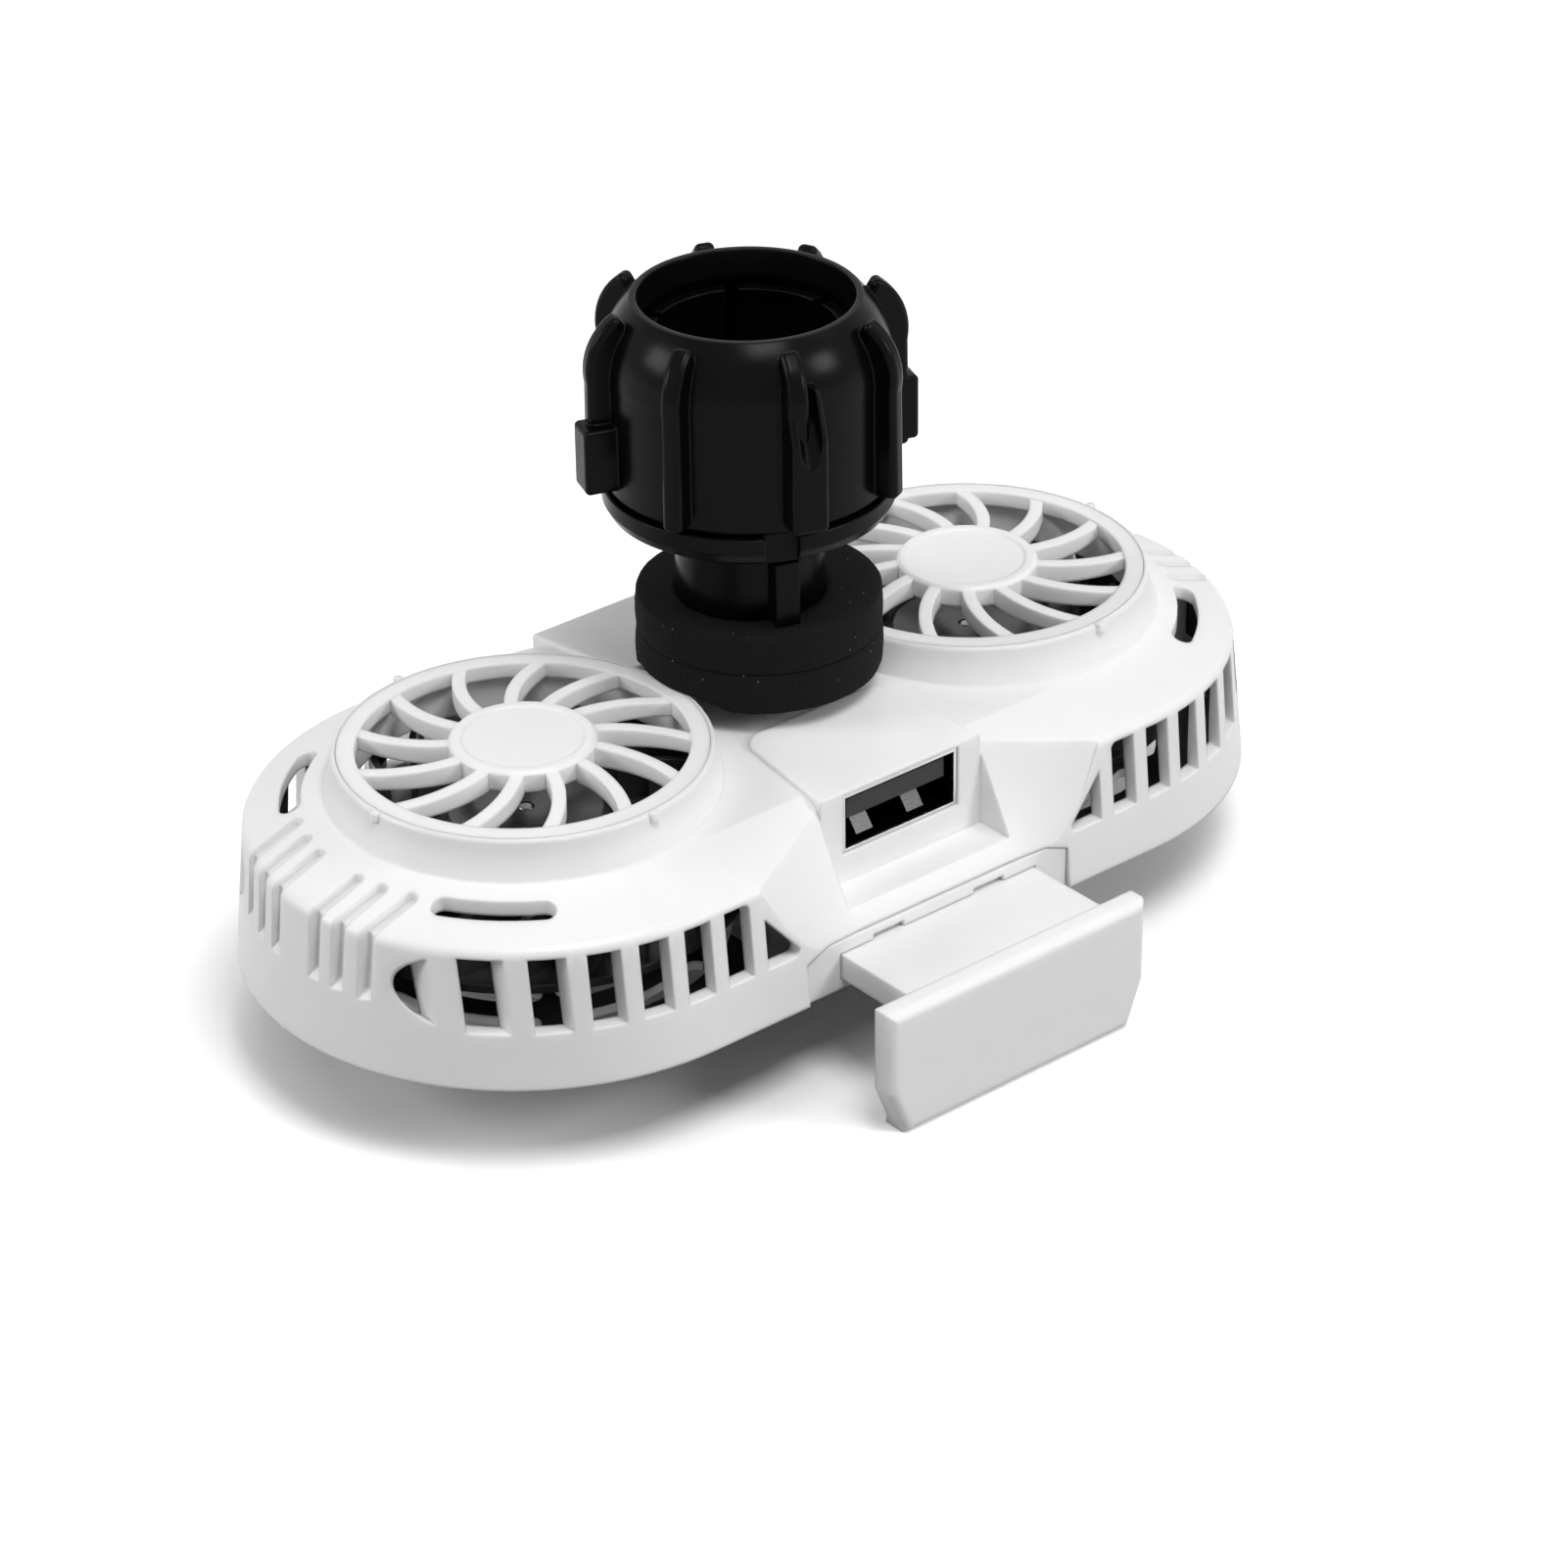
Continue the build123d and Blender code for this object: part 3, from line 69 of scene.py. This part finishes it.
# One output of a node, whose arithmetic adds Math nodes
class Wire:
    def __init__(self, shader, socket):
        self.shader = shader
        self.socket = socket

    def __add__(self, other):
        return self.shader.maths("ADD", self, other)

    def __radd__(self, other):
        return self.shader.maths("ADD", other, self)

    def __sub__(self, other):
        return self.shader.maths("SUBTRACT", self, other)

    def __rsub__(self, other):
        return self.shader.maths("SUBTRACT", other, self)

    def __mul__(self, other):
        return self.shader.maths("MULTIPLY", self, other)

    def __rmul__(self, other):
        return self.shader.maths("MULTIPLY", other, self)

    def __truediv__(self, other):
        return self.shader.maths("DIVIDE", self, other)

    def __rtruediv__(self, other):
        return self.shader.maths("DIVIDE", other, self)

    def __abs__(self):
        return self.shader.maths("ABSOLUTE", self)

    def below(self, limit):
        return self.shader.maths("LESS_THAN", self, limit)

    def above(self, limit):
        return self.shader.maths("GREATER_THAN", self, limit)

    def orMore(self, other):
        return self.shader.maths("MAXIMUM", self, other)


# The node tree of a material or of the world
class Shader:
    def __init__(self, owner):
        owner.use_nodes = True
        self.owner = owner
        self.tree = owner.node_tree
        self.tree.nodes.clear()

    # Adds a node: its type, its settings, then its sockets' values or wires
    def add(self, kind, settings=None, sockets=None, out=0):
        node = self.tree.nodes.new("ShaderNode" + kind)
        for key, value in (settings or {}).items():
            if key == "stops":
                ramp = node.color_ramp
                while len(ramp.elements) < len(value):
                    ramp.elements.new(0.5)
                for element, (place, level) in zip(ramp.elements, value):
                    element.position = place
                    element.color = (level, level, level, 1)
            else:
                setattr(node, key, value)
        for key, value in (sockets or {}).items():
            if isinstance(value, Wire):
                self.tree.links.new(value.socket, node.inputs[key])
            else:
                node.inputs[key].default_value = value
        return None if out is None else Wire(self, node.outputs[out])

    def maths(self, operation, *values):
        return self.add("Math", {"operation": operation}, dict(enumerate(values)))

    def place(self):
        return self.add("TexCoord", out="Object")

    def flatNormal(self):
        return self.add("NewGeometry", out="Normal")

    # A vector's three numbers
    def axes(self, vector):
        split = self.add("SeparateXYZ", None, {"Vector": vector}).socket.node
        return [Wire(self, socket) for socket in split.outputs]

    # How long the vector of two numbers is
    def length(self, across, along):
        return self.maths("SQRT", across * across + along * along)

    def stretched(self, stretch):
        return self.add("Mapping", None, {"Vector": self.place(), "Scale": (1, 1, stretch)})

    def noise(self, size, detail=3.0, rough=0.5, where=None, warp=0.0):
        values = {"Vector": where or self.place(), "Scale": 1 / size}
        values.update({"Detail": detail, "Roughness": rough, "Distortion": warp})
        return self.add("TexNoise", None, values)

    def cells(self, size, out="Distance"):
        values = {"Vector": self.place(), "Scale": 1 / size, "Randomness": 1.0}
        return self.add("TexVoronoi", {"feature": "F1"}, values, out)

    def ramp(self, value, stops):
        return self.add("ValToRGB", {"stops": stops}, {"Fac": value})

    def blend(self, factor, first, second):
        colours = {"Factor": factor, mixFirst: colour4(first), mixSecond: colour4(second)}
        return self.add("Mix", {"data_type": "RGBA"}, colours, mixResult)

    def bump(self, height, depth, under=None):
        values = {"Height": height, "Distance": depth, "Strength": 1.0}
        if under:
            values["Normal"] = under
        return self.add("Bump", None, values)

    def softEdge(self, radius):
        return self.add("Bevel", {"samples": bevelSamples}, {"Radius": radius})

    def finish(self, values):
        surface = self.add("BsdfPrincipled", None, values)
        self.add("OutputMaterial", None, {"Surface": surface}, None)
        return self.owner


def newShader(name):
    return Shader(bpy.data.materials.new(name))


def colour4(value):
    return value if isinstance(value, Wire) else (*value, 1.0)


def grey(level, tint=0.0):
    return (level, level, level * (1 + tint))


# Satin white plastic: a fine eroded grain, faint sink marks and soft moulded edges
whitePlastic = {
    "colour": grey(0.84, 0.004),
    "shade": grey(0.80, 0.004),
    "roughness": 0.36,
    "mottleShine": 0.10,
    "grainShine": 0.06,
    "specular": 0.4,
    "ior": 1.5,
    "glow": 0.5,  # how much light soaks in
    "glowDepth": 1.2 * mm,
    "grainSize": 0.16 * mm,
    "grainDepth": 0.004 * mm,
    "mottleSize": 3.0 * mm,
    "waveSize": 9.0 * mm,
    "waveDepth": 0.03 * mm,
    "edge": 0.34 * mm,
    "inside": grey(0.055),  # painted shade: a dark colour on the white faces inside the fans' chambers, and where they lie
    "fanX": 25.4 * mm,
    "insideReach": 23.6 * mm,
    "insideEnd": 13.5 * mm,
    "insideLow": 0.35 * mm,
    "insideFloor": 2.6 * mm,
    "insideHigh": 12.4 * mm,
    "insideTilt": 0.5,
    "insideTurn": 0.1,
}


# 1 on the faces that look into a fan's chamber, where a dark painted shade stands in for the
# chamber's shade
def paintedChamberShadeMask(shader, look):
    x, y, z = shader.axes(shader.place())
    turnX, turnY, turnZ = shader.axes(shader.flatNormal())
    across = (abs(x) - look["fanX"]) * shader.maths("SIGN", x)
    reach = shader.length(across, y)
    outward = (turnX * across + turnY * y) / reach
    floor = turnZ.above(look["insideTilt"]) * z.below(look["insideFloor"])
    roof = turnZ.below(-look["insideTilt"])
    facing = outward.below(-look["insideTurn"]).orMore(roof).orMore(floor)
    within = reach.below(look["insideReach"]) * abs(x).above(look["insideEnd"])
    return facing * within * z.above(look["insideLow"]) * z.below(look["insideHigh"])


def makeWhitePlastic(name, look):
    shader = newShader(name)
    wave = shader.noise(look["waveSize"], detail=2.0)
    mottle = shader.noise(look["mottleSize"], detail=4.0)
    grain = shader.noise(look["grainSize"], detail=2.0, rough=0.6)
    waved = shader.bump(wave, look["waveDepth"], shader.softEdge(look["edge"]))
    white = shader.blend(mottle, look["shade"], look["colour"])
    shine = (mottle - 0.5) * look["mottleShine"]
    return shader.finish({
        # Painted shade: the white faces inside the fans' chambers are coloured dark
        "Base Color": shader.blend(paintedChamberShadeMask(shader, look), white, look["inside"]),
        "Roughness": look["roughness"] + shine + (grain - 0.5) * look["grainShine"],
        "Normal": shader.bump(grain, look["grainDepth"], waved),
        "IOR": look["ior"],
        "Specular IOR Level": look["specular"],
        "Subsurface Weight": look["glow"],
        "Subsurface Radius": (1.0, 1.0, 1.0),
        "Subsurface Scale": look["glowDepth"],
    })


# Black moulded nylon: near black, a soft gloss with flow marks, and edges painted lighter as wear
# and as a painted edge sheen
blackPlastic = {
    "colour": grey(0.0018),
    "rubbedAndSheen": grey(0.012),
    "rubbedAndSheenStops": ((0.02, 0.0), (0.16, 1.0)),
    "roughness": 0.24,
    "flowShine": 0.10,
    "grainShine": 0.08,
    "specular": 0.07,
    "ior": 1.5,
    "grainSize": 0.12 * mm,
    "grainDepth": 0.0035 * mm,
    "flowSize": 1.75 * mm,
    "waveSize": 7.0 * mm,
    "waveDepth": 0.05 * mm,
    "edge": 0.30 * mm,
}


def makeBlackPlastic(name, look):
    shader = newShader(name)
    wave = shader.noise(look["waveSize"], detail=2.0)
    flow = shader.noise(look["flowSize"], detail=5.0, rough=0.6, warp=0.6)
    grain = shader.noise(look["grainSize"], detail=2.0, rough=0.6)
    edge = shader.softEdge(look["edge"])
    both = {0: edge, 1: shader.flatNormal()}
    flat = shader.add("VectorMath", {"operation": "DOT_PRODUCT"}, both, 1)
    # Edges painted lighter: wear, and a painted sheen along the edges
    wornAndSheen = shader.ramp(1 - flat, look["rubbedAndSheenStops"]) * flow
    waved = shader.bump(wave, look["waveDepth"], edge)
    shine = (flow - 0.5) * look["flowShine"]
    return shader.finish({
        "Base Color": shader.blend(wornAndSheen, look["colour"], look["rubbedAndSheen"]),
        "Roughness": look["roughness"] + shine + (grain - 0.5) * look["grainShine"],
        "Normal": shader.bump(grain, look["grainDepth"], waved),
        "IOR": look["ior"],
        "Specular IOR Level": look["specular"],
    })


# Closed-cell foam: matt black, open cut cells, and light specks of dust
foamLook = {
    "colour": grey(0.0050),
    "cell": grey(0.0016),
    "speck": grey(0.35),
    "roughness": 0.92,
    "speckShine": 0.4,
    "specular": 0.15,
    "cellSize": 0.22 * mm,
    "cellStops": ((0.15, 1.0), (0.55, 0.0)),
    "cellShare": 0.7,
    "cellDepth": 0.06 * mm,
    "patchSize": 3.08 * mm,
    "fineSize": 0.132 * mm,
    "uprightSize": 0.264 * mm,
    "uprightStretch": 0.12,
    "roughDepth": 0.048 * mm,
    "speckSize": 0.75 * mm,
    "speckStops": ((0.055, 1.0), (0.085, 0.0)),
    "chanceStops": ((0.62, 0.0), (0.66, 1.0)),
    "moreToRight": 12,
}


def makeFoam(name, look):
    shader = newShader(name)
    cells = shader.cells(look["cellSize"])
    fine = shader.noise(look["fineSize"], rough=0.7)
    patches = shader.noise(look["patchSize"])
    specks = shader.cells(look["speckSize"])
    drawn = shader.add("SeparateColor", None, {"Color": shader.cells(look["speckSize"], "Color")})
    chance = drawn + shader.axes(shader.place())[0] * look["moreToRight"]
    speck = shader.ramp(specks, look["speckStops"]) * shader.ramp(chance, look["chanceStops"])
    cut = shader.ramp(cells, look["cellStops"]) * look["cellShare"]
    body = shader.blend(cut + patches * (1 - look["cellShare"]), look["colour"], look["cell"])
    strands = shader.stretched(look["uprightStretch"])
    upright = shader.noise(look["uprightSize"], rough=0.7, where=strands)
    rough = shader.bump(fine + upright, look["roughDepth"])
    return shader.finish({
        "Base Color": shader.blend(speck, body, look["speck"]),
        "Roughness": look["roughness"] - speck * look["speckShine"],
        "Normal": shader.bump(cells, look["cellDepth"], rough),
        "Specular IOR Level": look["specular"],
    })


# Smoky clear plastic of the impellers
smokeLook = {
    "colour": grey(0.030),
    "thin": grey(0.075),
    "roughness": 0.14,
    "waveShine": 0.12,
    "ior": 1.55,
    "clear": 0.12,
    "waveSize": 3.0 * mm,
    "waveDepth": 0.03 * mm,
    "edge": 0.12 * mm,
}


def makeSmoke(name, look):
    shader = newShader(name)
    wave = shader.noise(look["waveSize"], warp=0.4)
    edge = shader.softEdge(look["edge"])
    return shader.finish({
        "Base Color": shader.blend(wave, look["colour"], look["thin"]),
        "Roughness": look["roughness"] + wave * look["waveShine"],
        "Normal": shader.bump(wave, look["waveDepth"], edge),
        "IOR": look["ior"],
        "Transmission Weight": look["clear"],
    })


# Metals: a base colour, a brushed or cast break-up and a bump of the same pattern
metalEdge = 0.06 * mm
metalDepth = 0.004 * mm
metalLooks = {
    "steel": {
        "colour": (0.56, 0.56, 0.57), "dark": (0.42, 0.42, 0.43),
        "roughness": 0.30, "size": 0.25 * mm, "stretch": 6.0,
    },
    "port_metal": {
        "colour": (0.62, 0.62, 0.63), "dark": (0.50, 0.50, 0.52),
        "roughness": 0.24, "size": 0.3 * mm, "stretch": 8.0,
        # painted shade on the sheet deeper inside the port
        "paintedShadeFrom": 19.4 * mm, "unshadedFrom": 19.8 * mm, "paintedShade": 0.10,
    },
    "contact_metal": {
        "colour": (0.80, 0.66, 0.38), "dark": (0.68, 0.52, 0.26),
        "roughness": 0.24, "size": 0.2 * mm, "stretch": 5.0,
    },
    "bronze": {
        "colour": (0.55, 0.36, 0.20), "dark": (0.38, 0.24, 0.13),
        "roughness": 0.45, "size": 0.15 * mm, "stretch": 1.0,
    },
    "stator_steel": {
        "colour": (0.30, 0.30, 0.31), "dark": (0.18, 0.18, 0.19),
        "roughness": 0.42, "size": 0.35 * mm, "stretch": 9.0,
    },
    "magnet": {
        "colour": (0.06, 0.06, 0.063), "dark": (0.035, 0.035, 0.037), "metallic": 0.0,
        "roughness": 0.55, "size": 0.25 * mm, "stretch": 1.0,
    },
    "copper": {
        "colour": (0.72, 0.32, 0.14), "dark": (0.42, 0.16, 0.06),
        "roughness": 0.32, "size": 0.16 * mm, "stretch": 7.0,
    },
}


# Painted shade: the port's folded sheet is darkened inside, and keeps its full colour only at its
# rim
def paintedPortShade(shader, colour, look):
    depth = abs(shader.axes(shader.place())[1])
    span = {"From Min": look["paintedShadeFrom"], "From Max": look["unshadedFrom"], "To Min": look["paintedShade"]}
    share = shader.add("MapRange", None, {"Value": depth, **span})
    return shader.add("VectorMath", {"operation": "SCALE"}, {0: colour, "Scale": share})


def makeMetal(name, look):
    shader = newShader(name)
    streaks = shader.stretched(look["stretch"])
    brushed = shader.noise(look["size"] * 3, detail=4.0, rough=0.6, where=streaks)
    fine = shader.noise(look["size"], detail=2.0)
    colour = shader.blend(brushed, look["dark"], look["colour"])
    # Painted shade inside the port's sheet
    if "paintedShade" in look:
        colour = paintedPortShade(shader, colour, look)
    return shader.finish({
        "Base Color": colour,
        "Metallic": look.get("metallic", 1.0),
        "Roughness": look["roughness"] + (brushed - 0.5) * 0.2 + (fine - 0.5) * 0.08,
        "Normal": shader.bump(fine, metalDepth, shader.softEdge(metalEdge)),
    })


# Plain moulded or cast insulators, boards and rubber
plainEdge = 0.1 * mm
plainLooks = {
    "port_black": {
        "colour": grey(0.022), "dark": grey(0.016),
        "roughness": 0.42, "size": 0.20 * mm, "depth": 0.004 * mm,
    },
    "motor_black": {
        "colour": grey(0.035), "dark": grey(0.020),
        "roughness": 0.48, "size": 0.25 * mm, "depth": 0.005 * mm,
    },
    "board": {
        "colour": (0.012, 0.10, 0.045), "dark": (0.006, 0.055, 0.024),
        "roughness": 0.28, "size": 1.1 * mm, "depth": 0.02 * mm,
    },
    "pad_rubber": {
        "colour": grey(0.22), "dark": grey(0.17),
        "roughness": 0.80, "size": 0.35 * mm, "depth": 0.02 * mm,
    },
}


def makePlain(name, look):
    shader = newShader(name)
    patches = shader.noise(look["size"] * 5)
    fine = shader.noise(look["size"], rough=0.6)
    return shader.finish({
        "Base Color": shader.blend(patches, look["dark"], look["colour"]),
        "Roughness": look["roughness"] + (fine - 0.5) * 0.12,
        "Normal": shader.bump(fine, look["depth"], shader.softEdge(plainEdge)),
        "Specular IOR Level": 0.3,
    })


materials = {
    "white_plastic": makeWhitePlastic("satinWhite", whitePlastic),
    "black_plastic": makeBlackPlastic("mouldedBlack", blackPlastic),
    "foam": makeFoam("blackFoam", foamLook),
    "smoke_plastic": makeSmoke("smokyPlastic", smokeLook),
}
for slotName, look in metalLooks.items():
    materials[slotName] = makeMetal(slotName, look)
for slotName, look in plainLooks.items():
    materials[slotName] = makePlain(slotName, look)
for row in frame["record"]["subparts"]:
    node = nodes[row["node"]]
    node.data.materials.clear()
    node.data.materials.append(materials[row["material_slot"]])
print("materials made:", len(materials))


# Makes an object from a bmesh and puts it in the scene
def addObject(name, mesh, material):
    data = bpy.data.meshes.new(name)
    mesh.to_mesh(data)
    mesh.free()
    data.materials.append(material)
    made = bpy.data.objects.new(name, data)
    bpy.context.scene.collection.objects.link(made)
    return made


# Adds a soft piece of the housing in place of a solid, with the material of the given finish
def addPad(name, mesh, slotName, nodeName):
    piece = addObject(name, mesh, materials[slotName])
    piece.data.polygons.foreach_set("use_smooth", [True] * len(piece.data.polygons))
    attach(piece, "housing")
    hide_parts(nodeName)


# Joins closed rings of points, each of the same count, into one skin
def skinRings(mesh, rings, closed=True):
    loops = [[mesh.verts.new(point) for point in ring] for ring in rings]
    count = len(loops[0])
    pairs = list(zip(loops, loops[1:])) + ([(loops[-1], loops[0])] if closed else [])
    for low, high in pairs:
        for here in range(count):
            after = (here + 1) % count
            mesh.faces.new((low[here], low[after], high[after], high[here]))
    if not closed:
        mesh.faces.new(list(reversed(loops[0])))
        mesh.faces.new(loops[-1])
    bmesh.ops.recalc_face_normals(mesh, faces=mesh.faces)


# Foam pads: two die-cut layers, with rounded rims and a seam between them
foamPads = {
    "steps": 240,
    "rows": 14,
    "rimSteps": 4,
    "topRings": 8,
    "topUneven": 0.3,
    "middle": 0.4 * mm,
    "rim": 0.38 * mm,
    "footRim": 0.14 * mm,
    "bulge": 0.08 * mm,
    "inset": 0.06 * mm,
    "sag": 0.85 * mm,
    "sagReach": 2.6 * mm,
    "collar": 16.5 * mm,
    "fanX": 25.4 * mm,
    "waveSize": 3.2 * mm,
    "waveDepth": 0.09 * mm,
    "pitSize": 0.35 * mm,
    "pitDepth": 0.045 * mm,
    "socketNeck": 6.66 * mm,
    "socketFoot": 9.46 * mm,
    "socketRise": 1.16 * mm,
}


# A circle of points round its own middle, which a cut foam edge makes slightly uneven
def foamRing(middleX, radius, height, look, uneven=1.0):
    points = []
    for step in range(look["steps"]):
        angle = 2 * math.pi * step / look["steps"]
        across = Vector((math.cos(angle), math.sin(angle), 0))
        spot = across * radius + Vector((middleX, 0, height))
        wave = noise.noise(spot / look["waveSize"]) * look["waveDepth"]
        pit = noise.noise(spot / look["pitSize"]) * look["pitDepth"]
        points.append(spot + across * (wave + pit) * uneven)
    return points


# Radius and height of the rings up one pad's outer side: rim, bulging wall, rim
def padSide(radius, low, high, look):
    rim, foot, turns = look["rim"], look["footRim"], look["rimSteps"]
    rows = []
    for step in range(turns):
        turn = math.pi / 2 * step / turns
        rows.append((radius - foot + foot * math.sin(turn), low + foot - foot * math.cos(turn)))
    for step in range(look["rows"] + 1):
        share = step / look["rows"]
        swell = look["bulge"] * math.sin(math.pi * share)
        rows.append((radius + swell, low + foot + (high - low - rim - foot) * share))
    for step in range(1, turns + 1):
        turn = math.pi / 2 * step / turns
        rows.append((radius - rim + rim * math.cos(turn), high - rim + rim * math.sin(turn)))
    return rows


# Lets a pad hang down where neither fan's collar carries it, most at its underside
def sagPad(mesh, low, high, look):
    for vert in mesh.verts:
        clear = 1.0
        for side in (-1, 1):
            away = math.hypot(vert.co.x - side * look["fanX"], vert.co.y) - look["collar"]
            clear = min(clear, max(0.0, away / look["sagReach"]))
        share = (high - vert.co.z) / (high - low)
        vert.co.z -= look["sag"] * clear * clear * (3 - 2 * clear) * share


# The upper pad has room for the socket's neck and foot, and the lower one hangs
def makeFoamPad(name, nodeName, look, socketLow=None):
    low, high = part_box(nodeName)
    middleX = (low.x + high.x) / 2
    radius = (high.x - low.x) / 2 - look["inset"]
    inner = look["middle"] if socketLow is None else look["socketNeck"]
    bottom = [(inner, low.z)]
    if socketLow is not None:
        foot, ceiling = look["socketFoot"], socketLow + look["socketRise"]
        bottom = [(inner, ceiling), (foot, ceiling), (foot, low.z)]
    rings = [foamRing(middleX, *row, look) for row in padSide(radius, low.z, high.z, look)]
    start = radius - look["rim"]
    for step in range(1, look["topRings"] + 1):
        share = step / look["topRings"]
        size = start + (inner - start) * share
        rings.append(foamRing(middleX * (1 - share), size, high.z, look, look["topUneven"]))
    rings += [foamRing(0, *row, look, 0.0) for row in bottom]
    mesh = bmesh.new()
    skinRings(mesh, rings)
    if socketLow is None:
        sagPad(mesh, low.z, high.z, look)
    addPad(name, mesh, "foam", nodeName)


makeFoamPad("foamLower", "foam_pad_lower", foamPads)
makeFoamPad("foamUpper", "foam_pad_upper", foamPads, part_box("socket_cup")[0].z)
print("foam pads made")

# Contact pads: thin silicone strips with rounded corners and a soft lower edge
contactPads = {
    "middle": (10.0 * mm, 5.0 * mm),  # half of each side
    "strip": (7.0 * mm, 2.0 * mm),
    "corner": 0.9 * mm,
    "cornerSteps": 6,
    "soft": 0.18 * mm,
    "softShare": 0.2,
    "underInset": 0.5 * mm,
}


def roundedPlan(centre, halfX, halfY, corner, height, steps):
    points = []
    for quarter, (sideX, sideY) in enumerate(((1, 1), (-1, 1), (-1, -1), (1, -1))):
        for step in range(steps + 1):
            turn = math.pi / 2 * (quarter + step / steps)
            reach = Vector((math.cos(turn), math.sin(turn), 0)) * corner
            spot = Vector((sideX * (halfX - corner), sideY * (halfY - corner), height))
            points.append(centre + spot + reach)
    return points


def makeContactPads(look):
    low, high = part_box("contact_pads")
    soft, corner, steps = look["soft"], look["corner"], look["cornerSteps"]
    stripX, stripY = look["strip"]
    places = [(0, 0, *look["middle"])]
    for sideX in (-1, 1):
        for sideY in (-1, 1):
            places.append((sideX * (high.x - stripX), sideY * (high.y - stripY), stripX, stripY))
    edges = [(look["underInset"], low.z), (soft, low.z + soft * look["softShare"])]
    edges += [(0, low.z + soft), (0, high.z)]
    mesh = bmesh.new()
    for x, y, halfX, halfY in places:
        centre = Vector((x, y, 0))
        rings = [
            roundedPlan(centre, halfX - inset, halfY - inset, corner - inset, height, steps)
            for inset, height in edges
        ]
        skinRings(mesh, rings, closed=False)
    addPad("contactPads", mesh, "pad_rubber", "contact_pads")


makeContactPads(contactPads)
print("contact pads made")

# Stage: a pale floor under the hooks and a white surround
stageLook = {
    "paperBounce": grey(0.25),
    "paperShown": grey(0.95),
    "paperLift": grey(1.0),
    "shadowAndLiftStops": ((0.022, 0.0), (0.028, 0.30), (0.12, 0.38), (0.45, 0.70), (0.90, 1.0)),
    "fanX": 25.4 * mm,
    "grainSize": 6 * mm,
    "grainShine": 0.1,
    "roughness": 0.9,
    "specular": 0.1,
    "half": 2.5,
    "gap": 0.05 * mm,
    "surround": 0.22,
}


# 1 for the rays that show the background, so that gloss and clear plastic show it too
def backgroundRays(shader):
    camera = shader.add("LightPath", out="Is Camera Ray")
    glossy = shader.add("LightPath", out="Is Glossy Ray")
    clear = shader.add("LightPath", out="Is Transmission Ray")
    return camera.orMore(glossy).orMore(clear)


def makeFloor(look):
    shader = newShader("floorPaper")
    shown = backgroundRays(shader)
    paper = shader.noise(look["grainSize"], detail=4.0)
    x, y, _ = shader.axes(shader.place())
    reach = shader.length((abs(x) - look["fanX"]).orMore(0.0), y)
    # Painted shadow: no lift under the housing, where the air slots would show it, and little
    # lift near it, so the floor is darker there; the lift rises farther out
    liftOutsidePaintedShadow = shown * shader.ramp(reach, look["shadowAndLiftStops"])
    shader.finish({
        "Base Color": shader.blend(shown, look["paperBounce"], look["paperShown"]),
        "Emission Color": shader.blend(liftOutsidePaintedShadow, grey(0.0), look["paperLift"]),
        "Emission Strength": 1.0,
        "Roughness": look["roughness"] + (paper - 0.5) * look["grainShine"],
        "Specular IOR Level": look["specular"],
    })
    half, height = look["half"], cadLow.z - look["gap"]
    corners = [(-half, -half), (half, -half), (half, half), (-half, half)]
    mesh = bmesh.new()
    mesh.faces.new([mesh.verts.new((*corner, height)) for corner in corners])
    addObject("floor", mesh, shader.owner)


def makeSurround(look):
    world = bpy.data.worlds.new("surround")
    bpy.context.scene.world = world
    shader = Shader(world)
    strength = backgroundRays(shader) * (1 - look["surround"]) + look["surround"]
    light = shader.add("Background", None, {"Color": (1, 1, 1, 1), "Strength": strength})
    shader.add("OutputWorld", None, {"Surface": light}, None)


makeFloor(stageLook)
makeSurround(stageLook)
print("floor and surround made")

# Lamps: bearing round the object, height above the horizon, side, and power in watts
lampLooks = {
    "keySoftbox": {"bearing": -15, "height": 65, "side": 0.22, "power": 1.85},
    "rightSoftbox": {"bearing": 28, "height": 28, "side": 0.16, "power": 1.2},
    "leftSoftbox": {"bearing": -118, "height": 26, "side": 0.20, "power": 1.4},
    "sideCard": {"bearing": 65, "height": 55, "side": 0.30, "power": 0.3},
}
lampReach = 0.60


def addLamp(name, look):
    data = bpy.data.lights.new(name, "AREA")
    data.size = look["side"]
    data.energy = look["power"]
    bearing, height = math.radians(look["bearing"]), math.radians(look["height"])
    level = math.cos(height)
    away = Vector((math.sin(bearing) * level, -math.cos(bearing) * level, math.sin(height)))
    lamp = bpy.data.objects.new(name, data)
    lamp.location = away * lampReach
    lamp.rotation_euler = away.to_track_quat("Z", "Y").to_euler()
    bpy.context.scene.collection.objects.link(lamp)


for lampName, lampLook in lampLooks.items():
    addLamp(lampName, lampLook)

# Camera: where it stands, what it looks at, and its small roll in degrees
cameraLook = {
    "place": (-0.25165, -0.30823, 0.23402),
    "aim": (-0.003013, -0.007846, 0.010),
    "roll": -0.741,
    "lens": 117.766,
    "sensor": 36.0,
    "nearest": 0.01,
    "farthest": 20.0,
}


def makeCamera(look):
    data = bpy.data.cameras.new("camera")
    data.sensor_width = look["sensor"]
    data.lens = look["lens"]
    data.clip_start = look["nearest"]
    data.clip_end = look["farthest"]
    camera = bpy.data.objects.new("camera", data)
    aim = Vector(look["aim"]) - Vector(look["place"])
    roll = Matrix.Rotation(math.radians(look["roll"]), 3, "Z")
    turn = aim.to_track_quat("-Z", "Y").to_matrix() @ roll
    camera.matrix_world = Matrix.Translation(look["place"]) @ turn.to_4x4()
    bpy.context.scene.collection.objects.link(camera)
    bpy.context.scene.camera = camera


makeCamera(cameraLook)
bpy.context.scene.view_settings.view_transform = "Standard"
print("lamps and camera made")
